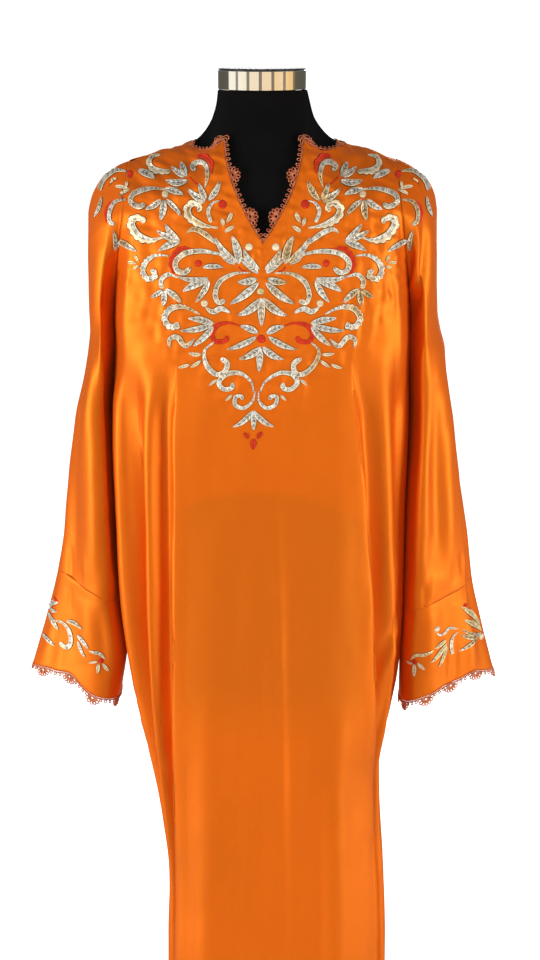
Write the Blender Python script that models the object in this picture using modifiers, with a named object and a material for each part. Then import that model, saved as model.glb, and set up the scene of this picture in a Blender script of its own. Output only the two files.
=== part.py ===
"""A long silk kaftan dress on a limbless dress form, whose pole stands on a round base.

Metres, +Z up. The front of the dress faces -Y, and left and right are as seen from the front.
The origin is the middle of the base's underside. The dress hangs empty round the form: its walls are
sheets of cloth given a thickness, and its sleeves hang beside the body with nothing in them.
"""

import math
from collections import namedtuple

import bmesh
import bpy
import numpy as np
from mathutils import Vector

# Driving sizes
CLOTH = 0.0010  # thickness of the silk as a wall
SEAM_GAP = 0.0003  # pieces stay this far apart where they are sewn
SEAM_FLAT = 0.004  # the cloth lies flat for this width beside a side seam
HEM_Z = 0.060
UNDERARM_Z = 1.235
SHOULDER_POINT_X = 0.165  # where the armhole seam crosses the shoulder
ARMHOLE_X = 0.184  # half the width between the armhole seams at the underarm
CREASE_TOP_Z = 1.410  # the crease between body and sleeve begins here
CREASE_DEPTH = 0.046
CREASE_WIDTH = 0.016
UNDERARM_BLEND = 0.095  # below the underarm the body takes this height to find its own shape
SLEEVE_BLEND = 0.110

# Neckline
NECK_SLIT_Z = 1.3535
NECK_SLIT_X = 0.0015
NECK_CORNER_X = {"left": 0.0455, "right": 0.0500}
NECK_CORNER_Z = 1.470
NECK_SLIT_CURVE = 1.75
NECK_POINT_X = {"left": 0.0925, "right": 0.1030}  # where the neckline crosses the shoulder seam
NECK_DIP = 0.0085
BACK_NECK_Z = 1.452

# Dress form and stand
FORM_BELOW_CLOTH = 0.0025  # how far the form's shoulders lie below the outside of the cloth
FORM_BEHIND_CLOTH = 0.0062
FORM_SHOULDER_Z = 1.436  # above this height the form follows the dress
NECK_TOP_Z = 1.5275
CAP_RADIUS = 0.0535
CAP_HEIGHT = 0.0260
CAP_BEVEL = 0.0012
POLE_RADIUS = 0.016
BASE_RADIUS = 0.170
BASE_HEIGHT = 0.010
BASE_EDGE = 0.003
FACE_GAP = 0.0003  # between hard pieces that rest face to face

# Lace, a narrow band with fans, which goes on beyond the cloth's edge
LACE_GAP = 0.0009
LACE_BAND = 0.0026
LACE_STEP = 0.008
FAN_WIDTH = 0.0150
FAN_HEIGHT = 0.0130
NECK_FANS = (0.036, 0.091, 0.147, 0.203, 0.258)  # along each side of the neckline from the slit's foot
CUFF_FAN_PITCH = 0.040

# Outline of the yoke, with the upper sleeves: half widths, depth in front and behind, and squareness.
# The dress hangs a little to the right on its form.
YokeLevel = namedtuple("YokeLevel", "z left right front back power")
YOKE = (
    YokeLevel(1.5350, 0.0535, 0.0540, 0.0530, 0.0530, 2.0),
    YokeLevel(1.5160, 0.0555, 0.0585, 0.0545, 0.0550, 2.0),
    YokeLevel(1.4990, 0.0600, 0.0632, 0.0570, 0.0585, 2.0),
    YokeLevel(1.4860, 0.0665, 0.0710, 0.0600, 0.0620, 2.0),
    YokeLevel(1.4720, 0.0785, 0.0850, 0.0645, 0.0665, 2.1),
    YokeLevel(1.4640, 0.0925, 0.1030, 0.0680, 0.0700, 2.2),
    YokeLevel(1.4510, 0.1345, 0.1420, 0.0745, 0.0760, 2.3),
    YokeLevel(1.4360, 0.1775, 0.1815, 0.0815, 0.0820, 2.3),
    YokeLevel(1.4170, 0.2020, 0.2065, 0.0885, 0.0875, 2.4),
    YokeLevel(1.3960, 0.2125, 0.2155, 0.0950, 0.0920, 2.4),
    YokeLevel(1.3760, 0.2164, 0.2178, 0.1000, 0.0950, 2.5),
    YokeLevel(1.3350, 0.2170, 0.2180, 0.1090, 0.0990, 2.6),
    YokeLevel(1.2950, 0.2170, 0.2176, 0.1150, 0.1010, 2.6),
    YokeLevel(1.2600, 0.2165, 0.2190, 0.1185, 0.1020, 2.6),
    YokeLevel(1.2350, 0.2160, 0.2235, 0.1210, 0.1030, 2.6),
    YokeLevel(1.2100, 0.2180, 0.2300, 0.1215, 0.1035, 2.6),
    YokeLevel(1.1000, 0.2220, 0.2360, 0.1225, 0.1040, 2.7),
)
RIDGE_THIN = 0.60  # the shoulder's share of the full depth at its ridge
RIDGE_FALL = 0.060

# Outline of the body below the underarm
BodyLevel = namedtuple("BodyLevel", "z left right front back power")
BODY = (
    BodyLevel(1.2350, 0.1850, 0.1850, 0.1210, 0.1030, 2.8),
    BodyLevel(1.1500, 0.1880, 0.1840, 0.1225, 0.1045, 2.9),
    BodyLevel(1.0000, 0.1860, 0.1815, 0.1205, 0.1050, 3.0),
    BodyLevel(0.8800, 0.1805, 0.1800, 0.1190, 0.1060, 3.0),
    BodyLevel(0.8000, 0.1720, 0.1760, 0.1185, 0.1070, 3.0),
    BodyLevel(0.7300, 0.1605, 0.1680, 0.1180, 0.1080, 3.0),
    BodyLevel(0.6500, 0.1450, 0.1545, 0.1175, 0.1100, 3.0),
    BodyLevel(0.5700, 0.1315, 0.1575, 0.1175, 0.1120, 3.1),
    BodyLevel(0.4900, 0.1240, 0.1630, 0.1180, 0.1140, 3.2),
    BodyLevel(0.3700, 0.1260, 0.1665, 0.1200, 0.1170, 3.3),
    BodyLevel(0.0600, 0.1310, 0.1700, 0.1250, 0.1230, 3.3),
)

# The edge of the flat front: its distance from the centre along the cloth
EdgeLevel = namedtuple("EdgeLevel", "z left right")
FRONT_EDGE = (
    EdgeLevel(1.2350, 0.103, 0.108),
    EdgeLevel(1.1300, 0.108, 0.120),
    EdgeLevel(0.9400, 0.111, 0.137),
    EdgeLevel(0.7500, 0.115, 0.150),
    EdgeLevel(0.4000, 0.122, 0.161),
    EdgeLevel(0.0600, 0.126, 0.166),
)

# Folds of the body: where each line runs, as a share, and how far it stands out (+) or lies back (-).
# In the flat front the share is of the way to its edge. Beyond it, it is of the way on to the side seam.
Fold = namedtuple("Fold", "line share chest waist hip hem")
FOLD_HEIGHTS = {"chest": 1.120, "waist": 0.900, "hip": 0.640, "hem": 0.060}
FOLDS_BEGIN_Z = 1.235
FLAT_LEFT = (
    Fold("middle", 0.00, 0.000, -0.002, -0.004, -0.006),
    Fold("inner slope", 0.28, 0.000, -0.001, -0.001, -0.002),
    Fold("soft ridge", 0.56, 0.000, 0.002, 0.003, 0.005),
    Fold("outer slope", 0.82, 0.001, 0.002, 0.004, 0.005),
    Fold("edge", 1.00, 0.003, 0.005, 0.006, 0.008),
)
FLAT_RIGHT = (
    Fold("middle", 0.00, 0.000, -0.002, -0.004, -0.006),
    Fold("inner slope", 0.30, 0.000, -0.001, -0.003, -0.004),
    Fold("soft ridge", 0.60, 0.000, 0.002, 0.004, 0.007),
    Fold("outer slope", 0.84, 0.001, 0.002, 0.002, 0.003),
    Fold("edge", 1.00, 0.003, 0.004, 0.005, 0.006),
)
SIDE_LEFT = (
    Fold("lip", 0.012, -0.002, -0.004, -0.003, -0.001),
    Fold("deep valley", 0.045, -0.016, -0.027, -0.024, -0.022),
    Fold("ridge", 0.250, 0.004, 0.007, 0.002, 0.004),
    Fold("dip", 0.440, -0.008, -0.013, -0.020, -0.030),
    Fold("outer ridge", 0.660, 0.003, 0.003, 0.001, 0.004),
    Fold("armhole line", 0.840, 0.000, -0.003, -0.010, -0.020),
    Fold("side seam", 1.000, 0.000, 0.000, 0.000, 0.000),
)
SIDE_RIGHT = (
    Fold("lip", 0.012, -0.002, -0.003, -0.003, -0.001),
    Fold("deep valley", 0.055, -0.014, -0.021, -0.020, -0.020),
    Fold("ridge", 0.300, 0.001, 0.004, 0.001, 0.004),
    Fold("dip", 0.470, -0.005, -0.008, -0.016, -0.026),
    Fold("outer ridge", 0.680, 0.003, 0.003, 0.001, 0.004),
    Fold("armhole line", 0.840, 0.000, -0.003, -0.008, -0.016),
    Fold("side seam", 1.000, 0.000, 0.000, 0.000, 0.000),
)
# Behind, the share is of the whole way from the centre to the side seam.
BACK_FOLDS = (
    Fold("middle", 0.00, 0.000, 0.003, 0.005, 0.007),
    Fold("valley", 0.17, -0.002, -0.008, -0.014, -0.018),
    Fold("ridge", 0.33, 0.002, 0.005, 0.007, 0.010),
    Fold("valley", 0.48, -0.003, -0.010, -0.018, -0.024),
    Fold("ridge", 0.62, 0.002, 0.004, 0.006, 0.009),
    Fold("valley", 0.75, -0.002, -0.006, -0.012, -0.020),
    Fold("armhole line", 0.88, 0.000, 0.002, 0.003, 0.006),
    Fold("side seam", 1.00, 0.000, 0.000, 0.000, 0.000),
)

# Outline of each sleeve below the underarm: its inner and outer sides, its depth, and how much higher
# the outer side of the ring lies
SleeveLevel = namedtuple("SleeveLevel", "z inner outer front back rise")
SLEEVE_LEFT = (
    SleeveLevel(1.2350, 0.1860, 0.2200, 0.0680, 0.0680, 0.000),
    SleeveLevel(1.1400, 0.1925, 0.2330, 0.0660, 0.0640, 0.000),
    SleeveLevel(1.0400, 0.1915, 0.2480, 0.0620, 0.0610, 0.002),
    SleeveLevel(0.9300, 0.1890, 0.2635, 0.0580, 0.0570, 0.006),
    SleeveLevel(0.8700, 0.1860, 0.2755, 0.0550, 0.0540, 0.012),
    SleeveLevel(0.7630, 0.1870, 0.3040, 0.0480, 0.0480, 0.042),
)
SLEEVE_RIGHT = (
    SleeveLevel(1.2350, 0.1860, 0.2300, 0.0680, 0.0680, 0.000),
    SleeveLevel(1.1400, 0.1900, 0.2390, 0.0660, 0.0640, 0.000),
    SleeveLevel(1.0400, 0.1890, 0.2530, 0.0620, 0.0610, 0.010),
    SleeveLevel(0.9300, 0.1870, 0.2690, 0.0580, 0.0570, 0.026),
    SleeveLevel(0.8850, 0.1850, 0.2740, 0.0550, 0.0540, 0.034),
    SleeveLevel(0.7575, 0.1850, 0.3070, 0.0480, 0.0480, 0.040),
)
SLEEVE_POWER = 2.3
SLEEVE_OPEN_SHARE = 0.89  # of the way round, from the front of the armhole line to its back
SLEEVE_START_TURN = 0.30  # the armhole line's place on the sleeve's inner side, as a share of its depth
SleeveFold = namedtuple("SleeveFold", "line share top elbow seam cuff")
SLEEVE_FOLD_HEIGHTS = {"top": 1.200, "elbow": 1.040, "seam": 0.880, "cuff": 0.755}
SLEEVE_FOLDS_LEFT = (
    SleeveFold("armhole line", 0.000, 0.000, 0.000, 0.000, 0.000),
    SleeveFold("front ridge", 0.160, 0.000, 0.003, 0.002, 0.001),
    SleeveFold("front dip", 0.260, -0.002, -0.004, -0.003, -0.002),
    SleeveFold("outer lip", 0.340, 0.001, 0.003, 0.001, 0.001),
    SleeveFold("outer valley", 0.375, -0.004, -0.008, -0.003, 0.000),
    SleeveFold("outer edge", 0.440, 0.000, 0.000, 0.000, 0.000),
    SleeveFold("back dip", 0.600, -0.003, -0.008, -0.006, -0.003),
    SleeveFold("back ridge", 0.730, 0.001, 0.002, 0.002, 0.002),
    SleeveFold("inner back", 0.890, 0.000, -0.003, -0.003, -0.001),
    SleeveFold("armhole line again", 1.000, 0.000, 0.000, 0.000, 0.000),
)
SLEEVE_FOLDS_RIGHT = (
    SleeveFold("armhole line", 0.000, 0.000, 0.000, 0.000, 0.000),
    SleeveFold("front ridge", 0.150, 0.000, 0.002, 0.002, 0.001),
    SleeveFold("front dip", 0.230, -0.001, -0.002, -0.002, -0.002),
    SleeveFold("outer lip", 0.310, 0.001, 0.003, 0.002, 0.001),
    SleeveFold("outer valley", 0.350, -0.005, -0.009, -0.006, 0.000),
    SleeveFold("outer edge", 0.430, 0.000, 0.000, 0.000, 0.000),
    SleeveFold("back dip", 0.600, -0.003, -0.007, -0.006, -0.003),
    SleeveFold("back ridge", 0.730, 0.001, 0.002, 0.002, 0.002),
    SleeveFold("inner back", 0.890, 0.000, -0.003, -0.003, -0.001),
    SleeveFold("armhole line again", 1.000, 0.000, 0.000, 0.000, 0.000),
)

# The form below its shoulders: a plain figure with no arms
FormLevel = namedtuple("FormLevel", "z width front back power")
FORM = (
    FormLevel(1.4360, 0.1700, 0.0760, 0.0770, 2.3),
    FormLevel(1.4100, 0.1840, 0.0850, 0.0840, 2.4),
    FormLevel(1.3760, 0.1880, 0.0940, 0.0900, 2.5),
    FormLevel(1.3300, 0.1800, 0.1040, 0.0940, 2.5),
    FormLevel(1.2800, 0.1680, 0.1110, 0.0950, 2.5),
    FormLevel(1.2200, 0.1580, 0.1160, 0.0930, 2.5),
    FormLevel(1.1600, 0.1480, 0.1110, 0.0880, 2.4),
    FormLevel(1.1000, 0.1340, 0.0960, 0.0820, 2.3),
    FormLevel(1.0400, 0.1240, 0.0860, 0.0790, 2.3),
    FormLevel(0.9700, 0.1360, 0.0880, 0.0840, 2.3),
    FormLevel(0.9000, 0.1500, 0.0900, 0.0910, 2.4),
    FormLevel(0.8300, 0.1560, 0.0900, 0.0930, 2.4),
    FormLevel(0.7700, 0.1540, 0.0870, 0.0900, 2.4),
    FormLevel(0.7450, 0.1500, 0.0830, 0.0860, 2.4),
    FormLevel(0.7400, 0.1440, 0.0770, 0.0800, 2.4),
)

# How finely the cloth is cut into faces
UNDERARM_TO_TOP = (0.0, 0.17, 0.34, 0.50, 0.64, 0.76, 0.86, 0.93, 0.972, 0.992, 1.0)
BODY_ROWS = (HEM_Z, 0.150, 0.260, 0.370, 0.460, 0.540, 0.610, 0.680, 0.750, 0.820, 0.890,
             0.960, 1.030, 1.090, 1.145, 1.180, 1.210, 1.235)
SLEEVE_ROWS = (0.0, 0.12, 0.25, 0.38, 0.51, 0.64, 0.75, 0.85, 0.93)
CUFF_ROWS = (0.0, 0.33, 0.67, 1.0)
SLIT_COLUMNS = 7
NECK_COLUMNS = 4
BACK_NECK_COLUMNS = 6
SHOULDER_COLUMNS = 4
# Columns of half a panel, from the centre to the side seam: the fold line before, and the share of the
# way from it to the next. The last but two is the armhole line.
FRONT_COLUMNS = ((0, 0), (0, 0.35), (0, 0.7), (1, 0), (1, 0.5), (2, 0), (3, 0), (4, 0), (5, 0),
                 (6, 0), (6, 0.5), (7, 0), (7, 0.5), (8, 0), (9, 0), (10, 0), (10, 0.5), (11, 0))
BACK_COLUMNS = ((0, 0), (0, 0.5), (1, 0), (1, 0.5), (2, 0), (3, 0), (3, 0.5), (4, 0), (5, 0),
                (5, 0.5), (6, 0), (6, 0.5), (7, 0))
SLEEVE_COLUMNS = 16  # from the front of the armhole line to its back
CLOSE_COLUMNS = 3  # and on round the inner side
FORM_COLUMNS = 28
FORM_NECK_ROWS = (0.07, 0.14, 0.21, 0.27, 0.33, 0.41, 0.52, 0.66, 0.82, 1.0)
SAMPLES = 240  # points along an outline before it is shared out

SIDES = {"left": -1, "right": 1}
COLOURS = {  # colour, metallic, roughness
    "silk": ((0.90, 0.26, 0.02), 0.0, 0.38),
    "lace": ((0.72, 0.22, 0.12), 0.0, 0.80),
    "jersey": ((0.012, 0.012, 0.013), 0.0, 0.85),
    "chrome": ((0.80, 0.80, 0.78), 1.0, 0.06),
    "stand": ((0.030, 0.030, 0.032), 0.6, 0.42),
}


def track(heights, values):
    """A smooth function of height through the given values, with no overshoot between them."""
    order = np.argsort(heights)
    z = np.asarray(heights, float)[order]
    v = np.asarray(values, float)[order]
    step = np.diff(z)
    rate = np.diff(v) / step
    slope = np.empty_like(v)
    slope[0], slope[-1] = rate[0], rate[-1]
    for i in range(1, len(v) - 1):
        before, after = rate[i - 1], rate[i]
        slope[i] = 0.0 if before * after <= 0 else 2 * before * after / (before + after)

    def value(height):
        h = np.clip(height, z[0], z[-1])
        i = np.clip(np.searchsorted(z, h, side="right") - 1, 0, len(step) - 1)
        t = (h - z[i]) / step[i]
        rise = (3 - 2 * t) * t * t
        curve = v[i] * (1 - rise) + v[i + 1] * rise
        return curve + step[i] * t * (1 - t) * (slope[i] * (1 - t) - slope[i + 1] * t)

    return value


def tracks(table):
    """One smooth function of height for each named column of a table."""
    heights = [row.z for row in table]
    names = [name for name in table[0]._fields if name != "z"]
    return {name: track(heights, [getattr(row, name) for row in table]) for name in names}


def ease(t):
    """Smooth step from 0 to 1."""
    t = np.clip(t, 0.0, 1.0)
    return t * t * (3 - 2 * t)


yoke = tracks(YOKE)
body = tracks(BODY)
front_edge = tracks(FRONT_EDGE)
form = tracks(FORM)
sleeve = {"left": tracks(SLEEVE_LEFT), "right": tracks(SLEEVE_RIGHT)}

RIDGE_Z = np.linspace(1.535, 1.330, 500)
ridge_reach = {side: np.maximum.accumulate(yoke[side](RIDGE_Z)) for side in ("left", "right")}


def side_of(x):
    return "left" if x < 0 else "right"


def ridge_height(x):
    """Height of the shoulder's ridge, or of the side below it, at a place across the body."""
    return float(np.interp(abs(x), ridge_reach[side_of(x)], RIDGE_Z))


def yoke_depth(x, z, way):
    """How far the yoke stands in front of the shoulder ridge, or behind it, at a point seen from the front."""
    width = float(yoke[side_of(x)](z))
    power = float(yoke["power"](z))
    inside = max(0.0, 1 - (min(abs(x), width) / width) ** power) ** (1 / power)
    thin = RIDGE_THIN + (1 - RIDGE_THIN) * float(ease((ridge_height(x) - z) / RIDGE_FALL))
    return float(yoke[way](z)) * inside * thin


def armhole_x(z, side):
    """The armhole seam's distance from the centre."""
    top = ridge_height(SIDES[side] * SHOULDER_POINT_X)
    return SHOULDER_POINT_X + (ARMHOLE_X - SHOULDER_POINT_X) * float(ease((top - z) / (top - UNDERARM_Z)))


def crease(x, z):
    """How far the cloth is drawn in along the crease between body and sleeve."""
    fall = float(ease((CREASE_TOP_Z - z) / (CREASE_TOP_Z - UNDERARM_Z)))
    near = 1 - min(1.0, abs(abs(x) - armhole_x(z, side_of(x))) / CREASE_WIDTH)
    return CREASE_DEPTH * fall * near ** 1.3


def yoke_point(x, z, way):
    """A point of the yoke's outside."""
    front = way == "front"
    depth = max(SEAM_GAP, yoke_depth(x, z, way) - crease(x, z))
    return Vector((x, -depth if front else depth, z))


def front_top_edge(side):
    """(x, z) of the front's top edge, up the slit, along the neck and along the shoulder."""
    edge = []
    corner, point = SIDES[side] * NECK_CORNER_X[side], SIDES[side] * NECK_POINT_X[side]
    for i in range(SLIT_COLUMNS):
        t = i / SLIT_COLUMNS
        x = corner + (NECK_SLIT_X - corner) * (1 - t) ** NECK_SLIT_CURVE
        edge.append((x, NECK_SLIT_Z + (NECK_CORNER_Z - NECK_SLIT_Z) * t))
    point_z = ridge_height(point)
    for i in range(NECK_COLUMNS):
        t = i / NECK_COLUMNS
        z = NECK_CORNER_Z + (point_z - NECK_CORNER_Z) * t - NECK_DIP * math.sin(math.pi * t)
        edge.append((corner + (point - corner) * t, z))
    return edge + shoulder_edge(side)


def back_top_edge(side):
    """(x, z) of the back's top edge, along the back of the neck and along the shoulder."""
    point = SIDES[side] * NECK_POINT_X[side]
    point_z = ridge_height(point)
    edge = []
    for i in range(BACK_NECK_COLUMNS):
        t = i / BACK_NECK_COLUMNS
        x = NECK_SLIT_X + (point - NECK_SLIT_X) * t
        edge.append((x, BACK_NECK_Z + (point_z - BACK_NECK_Z) * t**3))
    return edge + shoulder_edge(side)


def shoulder_edge(side):
    edge = []
    start, end = NECK_POINT_X[side], SHOULDER_POINT_X - SEAM_GAP / 2
    for i in range(SHOULDER_COLUMNS + 1):
        x = SIDES[side] * (start + (end - start) * i / SHOULDER_COLUMNS)
        edge.append((x, ridge_height(x)))
    return edge


def outline(width, depth, power):
    """Points of a quarter of a rounded outline, from the middle of its face to its side, and their
    distance along it."""
    turn = np.linspace(0, math.pi / 2, SAMPLES)
    x = width * np.sin(turn) ** (2 / power)
    y = depth * np.cos(turn) ** (2 / power)
    length = np.concatenate([[0], np.cumsum(np.hypot(np.diff(x), np.diff(y)))])
    return x, y, length


def fold_depths(folds, z):
    """How far each fold line stands out at a height."""
    levels = [FOLDS_BEGIN_Z, *FOLD_HEIGHTS.values()]
    return [float(track(levels, [0.0, *fold[2:]])(z)) for fold in folds]


def body_lines(side, way, z):
    """Where each fold line runs at a height, as a distance along the cloth from the centre, with how far
    it stands out. The last line is the side seam."""
    width, depth = float(body[side](z)), float(body[way](z))
    length = outline(width, depth, float(body["power"](z)))[2][-1]
    if way == "back":
        return [fold.share * length for fold in BACK_FOLDS], fold_depths(BACK_FOLDS, z)
    flat, beyond = (FLAT_LEFT, SIDE_LEFT) if side == "left" else (FLAT_RIGHT, SIDE_RIGHT)
    edge = float(front_edge[side](z))
    places = [fold.share * edge for fold in flat]
    places += [edge + fold.share * (length - edge) for fold in beyond]
    return places, fold_depths(flat, z) + fold_depths(beyond, z)


def body_points(side, way, z, places):
    """Points of the body's outside at a height, at given distances along the cloth from the centre."""
    x, y, length = outline(float(body[side](z)), float(body[way](z)), float(body["power"](z)))
    lines, stands = body_lines(side, way, z)
    out = track(lines, stands)(np.asarray(places))
    px, py = np.interp(places, length, x), np.interp(places, length, y)
    dx, dy = np.gradient(x, length), np.gradient(y, length)
    nx, ny = -np.interp(places, length, dy), np.interp(places, length, dx)
    scale = np.hypot(nx, ny)
    px, py = px + out * nx / scale, py + out * ny / scale
    mirror = SIDES[side]
    face = -1 if way == "front" else 1
    return [Vector((mirror * a, face * max(SEAM_GAP / 2, b), z)) for a, b in zip(px, py)]


def column_places(side, way, z):
    """Where each column of the panel runs at a height: on the fold lines and between some of them."""
    lines = body_lines(side, way, z)[0] + [0.0]
    table = FRONT_COLUMNS if way == "front" else BACK_COLUMNS
    return [lines[i] + share * (lines[i + 1] - lines[i]) for i, share in table]


def half_panel(side, way):
    """Rows of points from the hem to the top edge, each from the centre to the armhole or side seam.
    Above the underarm a row ends at the armhole seam, and the rest of it is left out."""
    edge = front_top_edge(side) if way == "front" else back_top_edge(side)
    arm = len(edge) - 1
    at_underarm = body_points(side, way, UNDERARM_Z, column_places(side, way, UNDERARM_Z))
    beyond = len(at_underarm) - len(edge)
    scale = (ARMHOLE_X - SEAM_GAP / 2) / abs(at_underarm[arm].x)
    underarm_x = [point.x * scale for point in at_underarm[: arm + 1]]

    def yoke_row(z):
        row = [yoke_point(x, z, way) for x in underarm_x]
        last = row[-1]
        seam_y = math.copysign(SEAM_GAP / 2, last.y)
        row += [Vector((last.x, last.y + (seam_y - last.y) * (i + 1) / beyond, z)) for i in range(beyond)]
        row[-2].y = seam_y + math.copysign(SEAM_FLAT, last.y)
        return row

    rows = []
    for z in BODY_ROWS:
        own = body_points(side, way, z, column_places(side, way, z))
        seam = own[-1]
        own[-2] = Vector((seam.x, seam.y + math.copysign(SEAM_FLAT, own[0].y), z))
        share = float(ease((z - UNDERARM_Z + UNDERARM_BLEND) / UNDERARM_BLEND))
        if share > 0:
            own = [a.lerp(b, share) for a, b in zip(own, yoke_row(z))]
        rows.append(own)
    for t in UNDERARM_TO_TOP[1:]:
        row = []
        for (top_x, top_z), low_x in zip(edge, underarm_x):
            z = UNDERARM_Z + (top_z - UNDERARM_Z) * t
            x = low_x + (top_x - low_x) * float(ease(t))
            row.append(yoke_point(x, z, way))
        rows.append(row + [None] * beyond)
    return rows


def whole_panel(way):
    """The two halves joined at the centre, each row from left to right as seen from outside."""
    first, second = ("left", "right") if way == "front" else ("right", "left")
    return [list(reversed(a)) + b[1:] for a, b in zip(half_panel(first, way), half_panel(second, way))]


def spaced(points, count):
    """Points at equal steps along a line of points."""
    steps = [0.0]
    for a, b in zip(points, points[1:]):
        steps.append(steps[-1] + (b - a).length)
    places = np.linspace(0, steps[-1], count + 1)
    return [Vector(np.interp(p, steps, [q[k] for q in points]) for k in range(3)) for p in places]


def cap_row(side, z):
    """The upper sleeve at a height: from the front of the armhole seam, round the outside, to its back."""
    mirror = SIDES[side]
    start, width = armhole_x(z, side) + SEAM_GAP / 2, float(yoke[side](z))
    reach = [start + (width - start) * math.sin(i / 30 * math.pi / 2) for i in range(31)]
    line = [yoke_point(mirror * x, z, "front") for x in reach]
    line += [yoke_point(mirror * x, z, "back") for x in reversed(reach[:-1])]
    return spaced(line, SLEEVE_COLUMNS)


def sleeve_ring(side, z, columns=SLEEVE_COLUMNS, close=CLOSE_COLUMNS):
    """A whole ring of the sleeve below the underarm, beginning where the cap's row does."""
    at = {name: float(f(z)) for name, f in sleeve[side].items()}
    middle, half = (at["inner"] + at["outer"]) / 2, (at["outer"] - at["inner"]) / 2
    turns = np.linspace(0, 2 * math.pi, 4 * SAMPLES, endpoint=False)
    c, s = np.cos(turns), np.sin(turns)
    across = -np.sign(c) * np.abs(c) ** (2 / SLEEVE_POWER)
    along = -np.sign(s) * np.abs(s) ** (2 / SLEEVE_POWER)
    x = middle + half * across
    y = np.where(along < 0, at["front"], at["back"]) * along
    start = int(np.argmin(np.hypot(across + 1, along + SLEEVE_START_TURN)))
    x, y = np.roll(x, -start), np.roll(y, -start)
    x, y = np.append(x, x[0]), np.append(y, y[0])
    length = np.concatenate([[0], np.cumsum(np.hypot(np.diff(x), np.diff(y)))])
    open_end = SLEEVE_OPEN_SHARE * length[-1]
    places = np.concatenate([np.linspace(0, open_end, columns + 1),
                             np.linspace(open_end, length[-1], close + 1)[1:-1]])
    folds = SLEEVE_FOLDS_LEFT if side == "left" else SLEEVE_FOLDS_RIGHT
    levels = [UNDERARM_Z, *SLEEVE_FOLD_HEIGHTS.values()]
    stands = [float(track(levels, [0.0, *fold[2:]])(z)) for fold in folds]
    out = track([fold.share * length[-1] for fold in folds], stands)(places)
    dx, dy = np.gradient(x, length), np.gradient(y, length)
    nx, ny = np.interp(places, length, -dy), np.interp(places, length, dx)
    scale = -np.hypot(nx, ny)
    px = np.interp(places, length, x) + out * nx / scale
    py = np.interp(places, length, y) + out * ny / scale
    height = z + at["rise"] * (px - middle) / (2 * half)
    return [Vector((SIDES[side] * a, b, h)) for a, b, h in zip(px, py, height)]


def sleeve_row(side, z):
    """A ring of the sleeve. Just below the underarm it is still the yoke's cap, closed on its inner side."""
    own = sleeve_ring(side, z)
    share = float(ease((z - UNDERARM_Z + SLEEVE_BLEND) / SLEEVE_BLEND))
    if share <= 0:
        return own
    cap = cap_row(side, z)
    cap += [cap[-1].lerp(cap[0], (i + 1) / CLOSE_COLUMNS) for i in range(CLOSE_COLUMNS - 1)]
    return [a.lerp(b, share) for a, b in zip(own, cap)]


def sleeve_rows(side):
    """Rows from the cuff seam up to the shoulder."""
    levels = SLEEVE_LEFT if side == "left" else SLEEVE_RIGHT
    seam = levels[-2].z + SEAM_GAP / 2
    rows = [sleeve_row(side, seam + (UNDERARM_Z - seam) * t) for t in SLEEVE_ROWS]
    rows.append(sleeve_row(side, UNDERARM_Z))
    missing = [None] * (CLOSE_COLUMNS - 1)
    top_z = ridge_height(SIDES[side] * SHOULDER_POINT_X)
    for t in UNDERARM_TO_TOP[1:-1]:
        rows.append(cap_row(side, UNDERARM_Z + (top_z - UNDERARM_Z) * t) + missing)
    top = Vector((SIDES[side] * (SHOULDER_POINT_X + SEAM_GAP / 2), 0.0, top_z))
    rows.append([top] * (SLEEVE_COLUMNS + 1) + missing)
    return [list(reversed(row)) for row in rows] if side == "left" else rows


def cuff_rows(side):
    """Rows from the cuff's lower edge up to the seam."""
    levels = SLEEVE_LEFT if side == "left" else SLEEVE_RIGHT
    low, high = levels[-1].z, levels[-2].z - SEAM_GAP / 2
    rows = [sleeve_ring(side, low + (high - low) * t) for t in CUFF_ROWS]
    return [list(reversed(row)) for row in rows] if side == "left" else rows


def material(name):
    made = bpy.data.materials.new(name)
    made.use_nodes = True
    colour, metallic, roughness = COLOURS[name]
    shader = made.node_tree.nodes["Principled BSDF"]
    shader.inputs["Base Color"].default_value = (*colour, 1.0)
    shader.inputs["Metallic"].default_value = metallic
    shader.inputs["Roughness"].default_value = roughness
    return made


def place(name, mesh, finish, smooth=True):
    """An object of the part, with its material."""
    obj = bpy.data.objects.new(name, mesh)
    parts.objects.link(obj)
    mesh.materials.append(finish)
    if smooth:
        mesh.shade_smooth()
    return obj


def sheet(name, rows, finish, ring=False):
    """A sheet of cloth through rows of points, given its thickness inwards. Rows run upwards and each
    one runs from left to right as seen from outside. A point that is None leaves the sheet open there."""
    shape = bmesh.new()
    grid = [[None if p is None else shape.verts.new(p) for p in row] for row in rows]
    width = len(rows[0])
    for i, (low, high) in enumerate(zip(grid, grid[1:])):
        for j in range(width if ring else width - 1):
            k = (j + 1) % width
            corners = [low[j], low[k], high[k], high[j]]
            if None not in corners:
                shape.faces.new(corners)
    bmesh.ops.remove_doubles(shape, verts=shape.verts, dist=1e-6)
    loose = [v for v in shape.verts if not v.link_faces]
    bmesh.ops.delete(shape, geom=loose, context="VERTS")
    mesh = bpy.data.meshes.new(name)
    shape.to_mesh(mesh)
    shape.free()
    obj = place(name, mesh, finish)
    wall = obj.modifiers.new("Wall", "SOLIDIFY")
    wall.thickness = CLOTH
    wall.offset = -1
    wall.use_even_offset = True
    wall.thickness_clamp = 1.0
    return obj


def solid(name, rows, finish):
    """A closed body through rings of points, with a flat face at each end."""
    shape = bmesh.new()
    grid = [[shape.verts.new(p) for p in row] for row in rows]
    width = len(rows[0])
    for low, high in zip(grid, grid[1:]):
        for j in range(width):
            k = (j + 1) % width
            shape.faces.new([low[j], low[k], high[k], high[j]])
    shape.faces.new(list(reversed(grid[0])))
    shape.faces.new(grid[-1])
    mesh = bpy.data.meshes.new(name)
    shape.to_mesh(mesh)
    shape.free()
    return place(name, mesh, finish)


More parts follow.
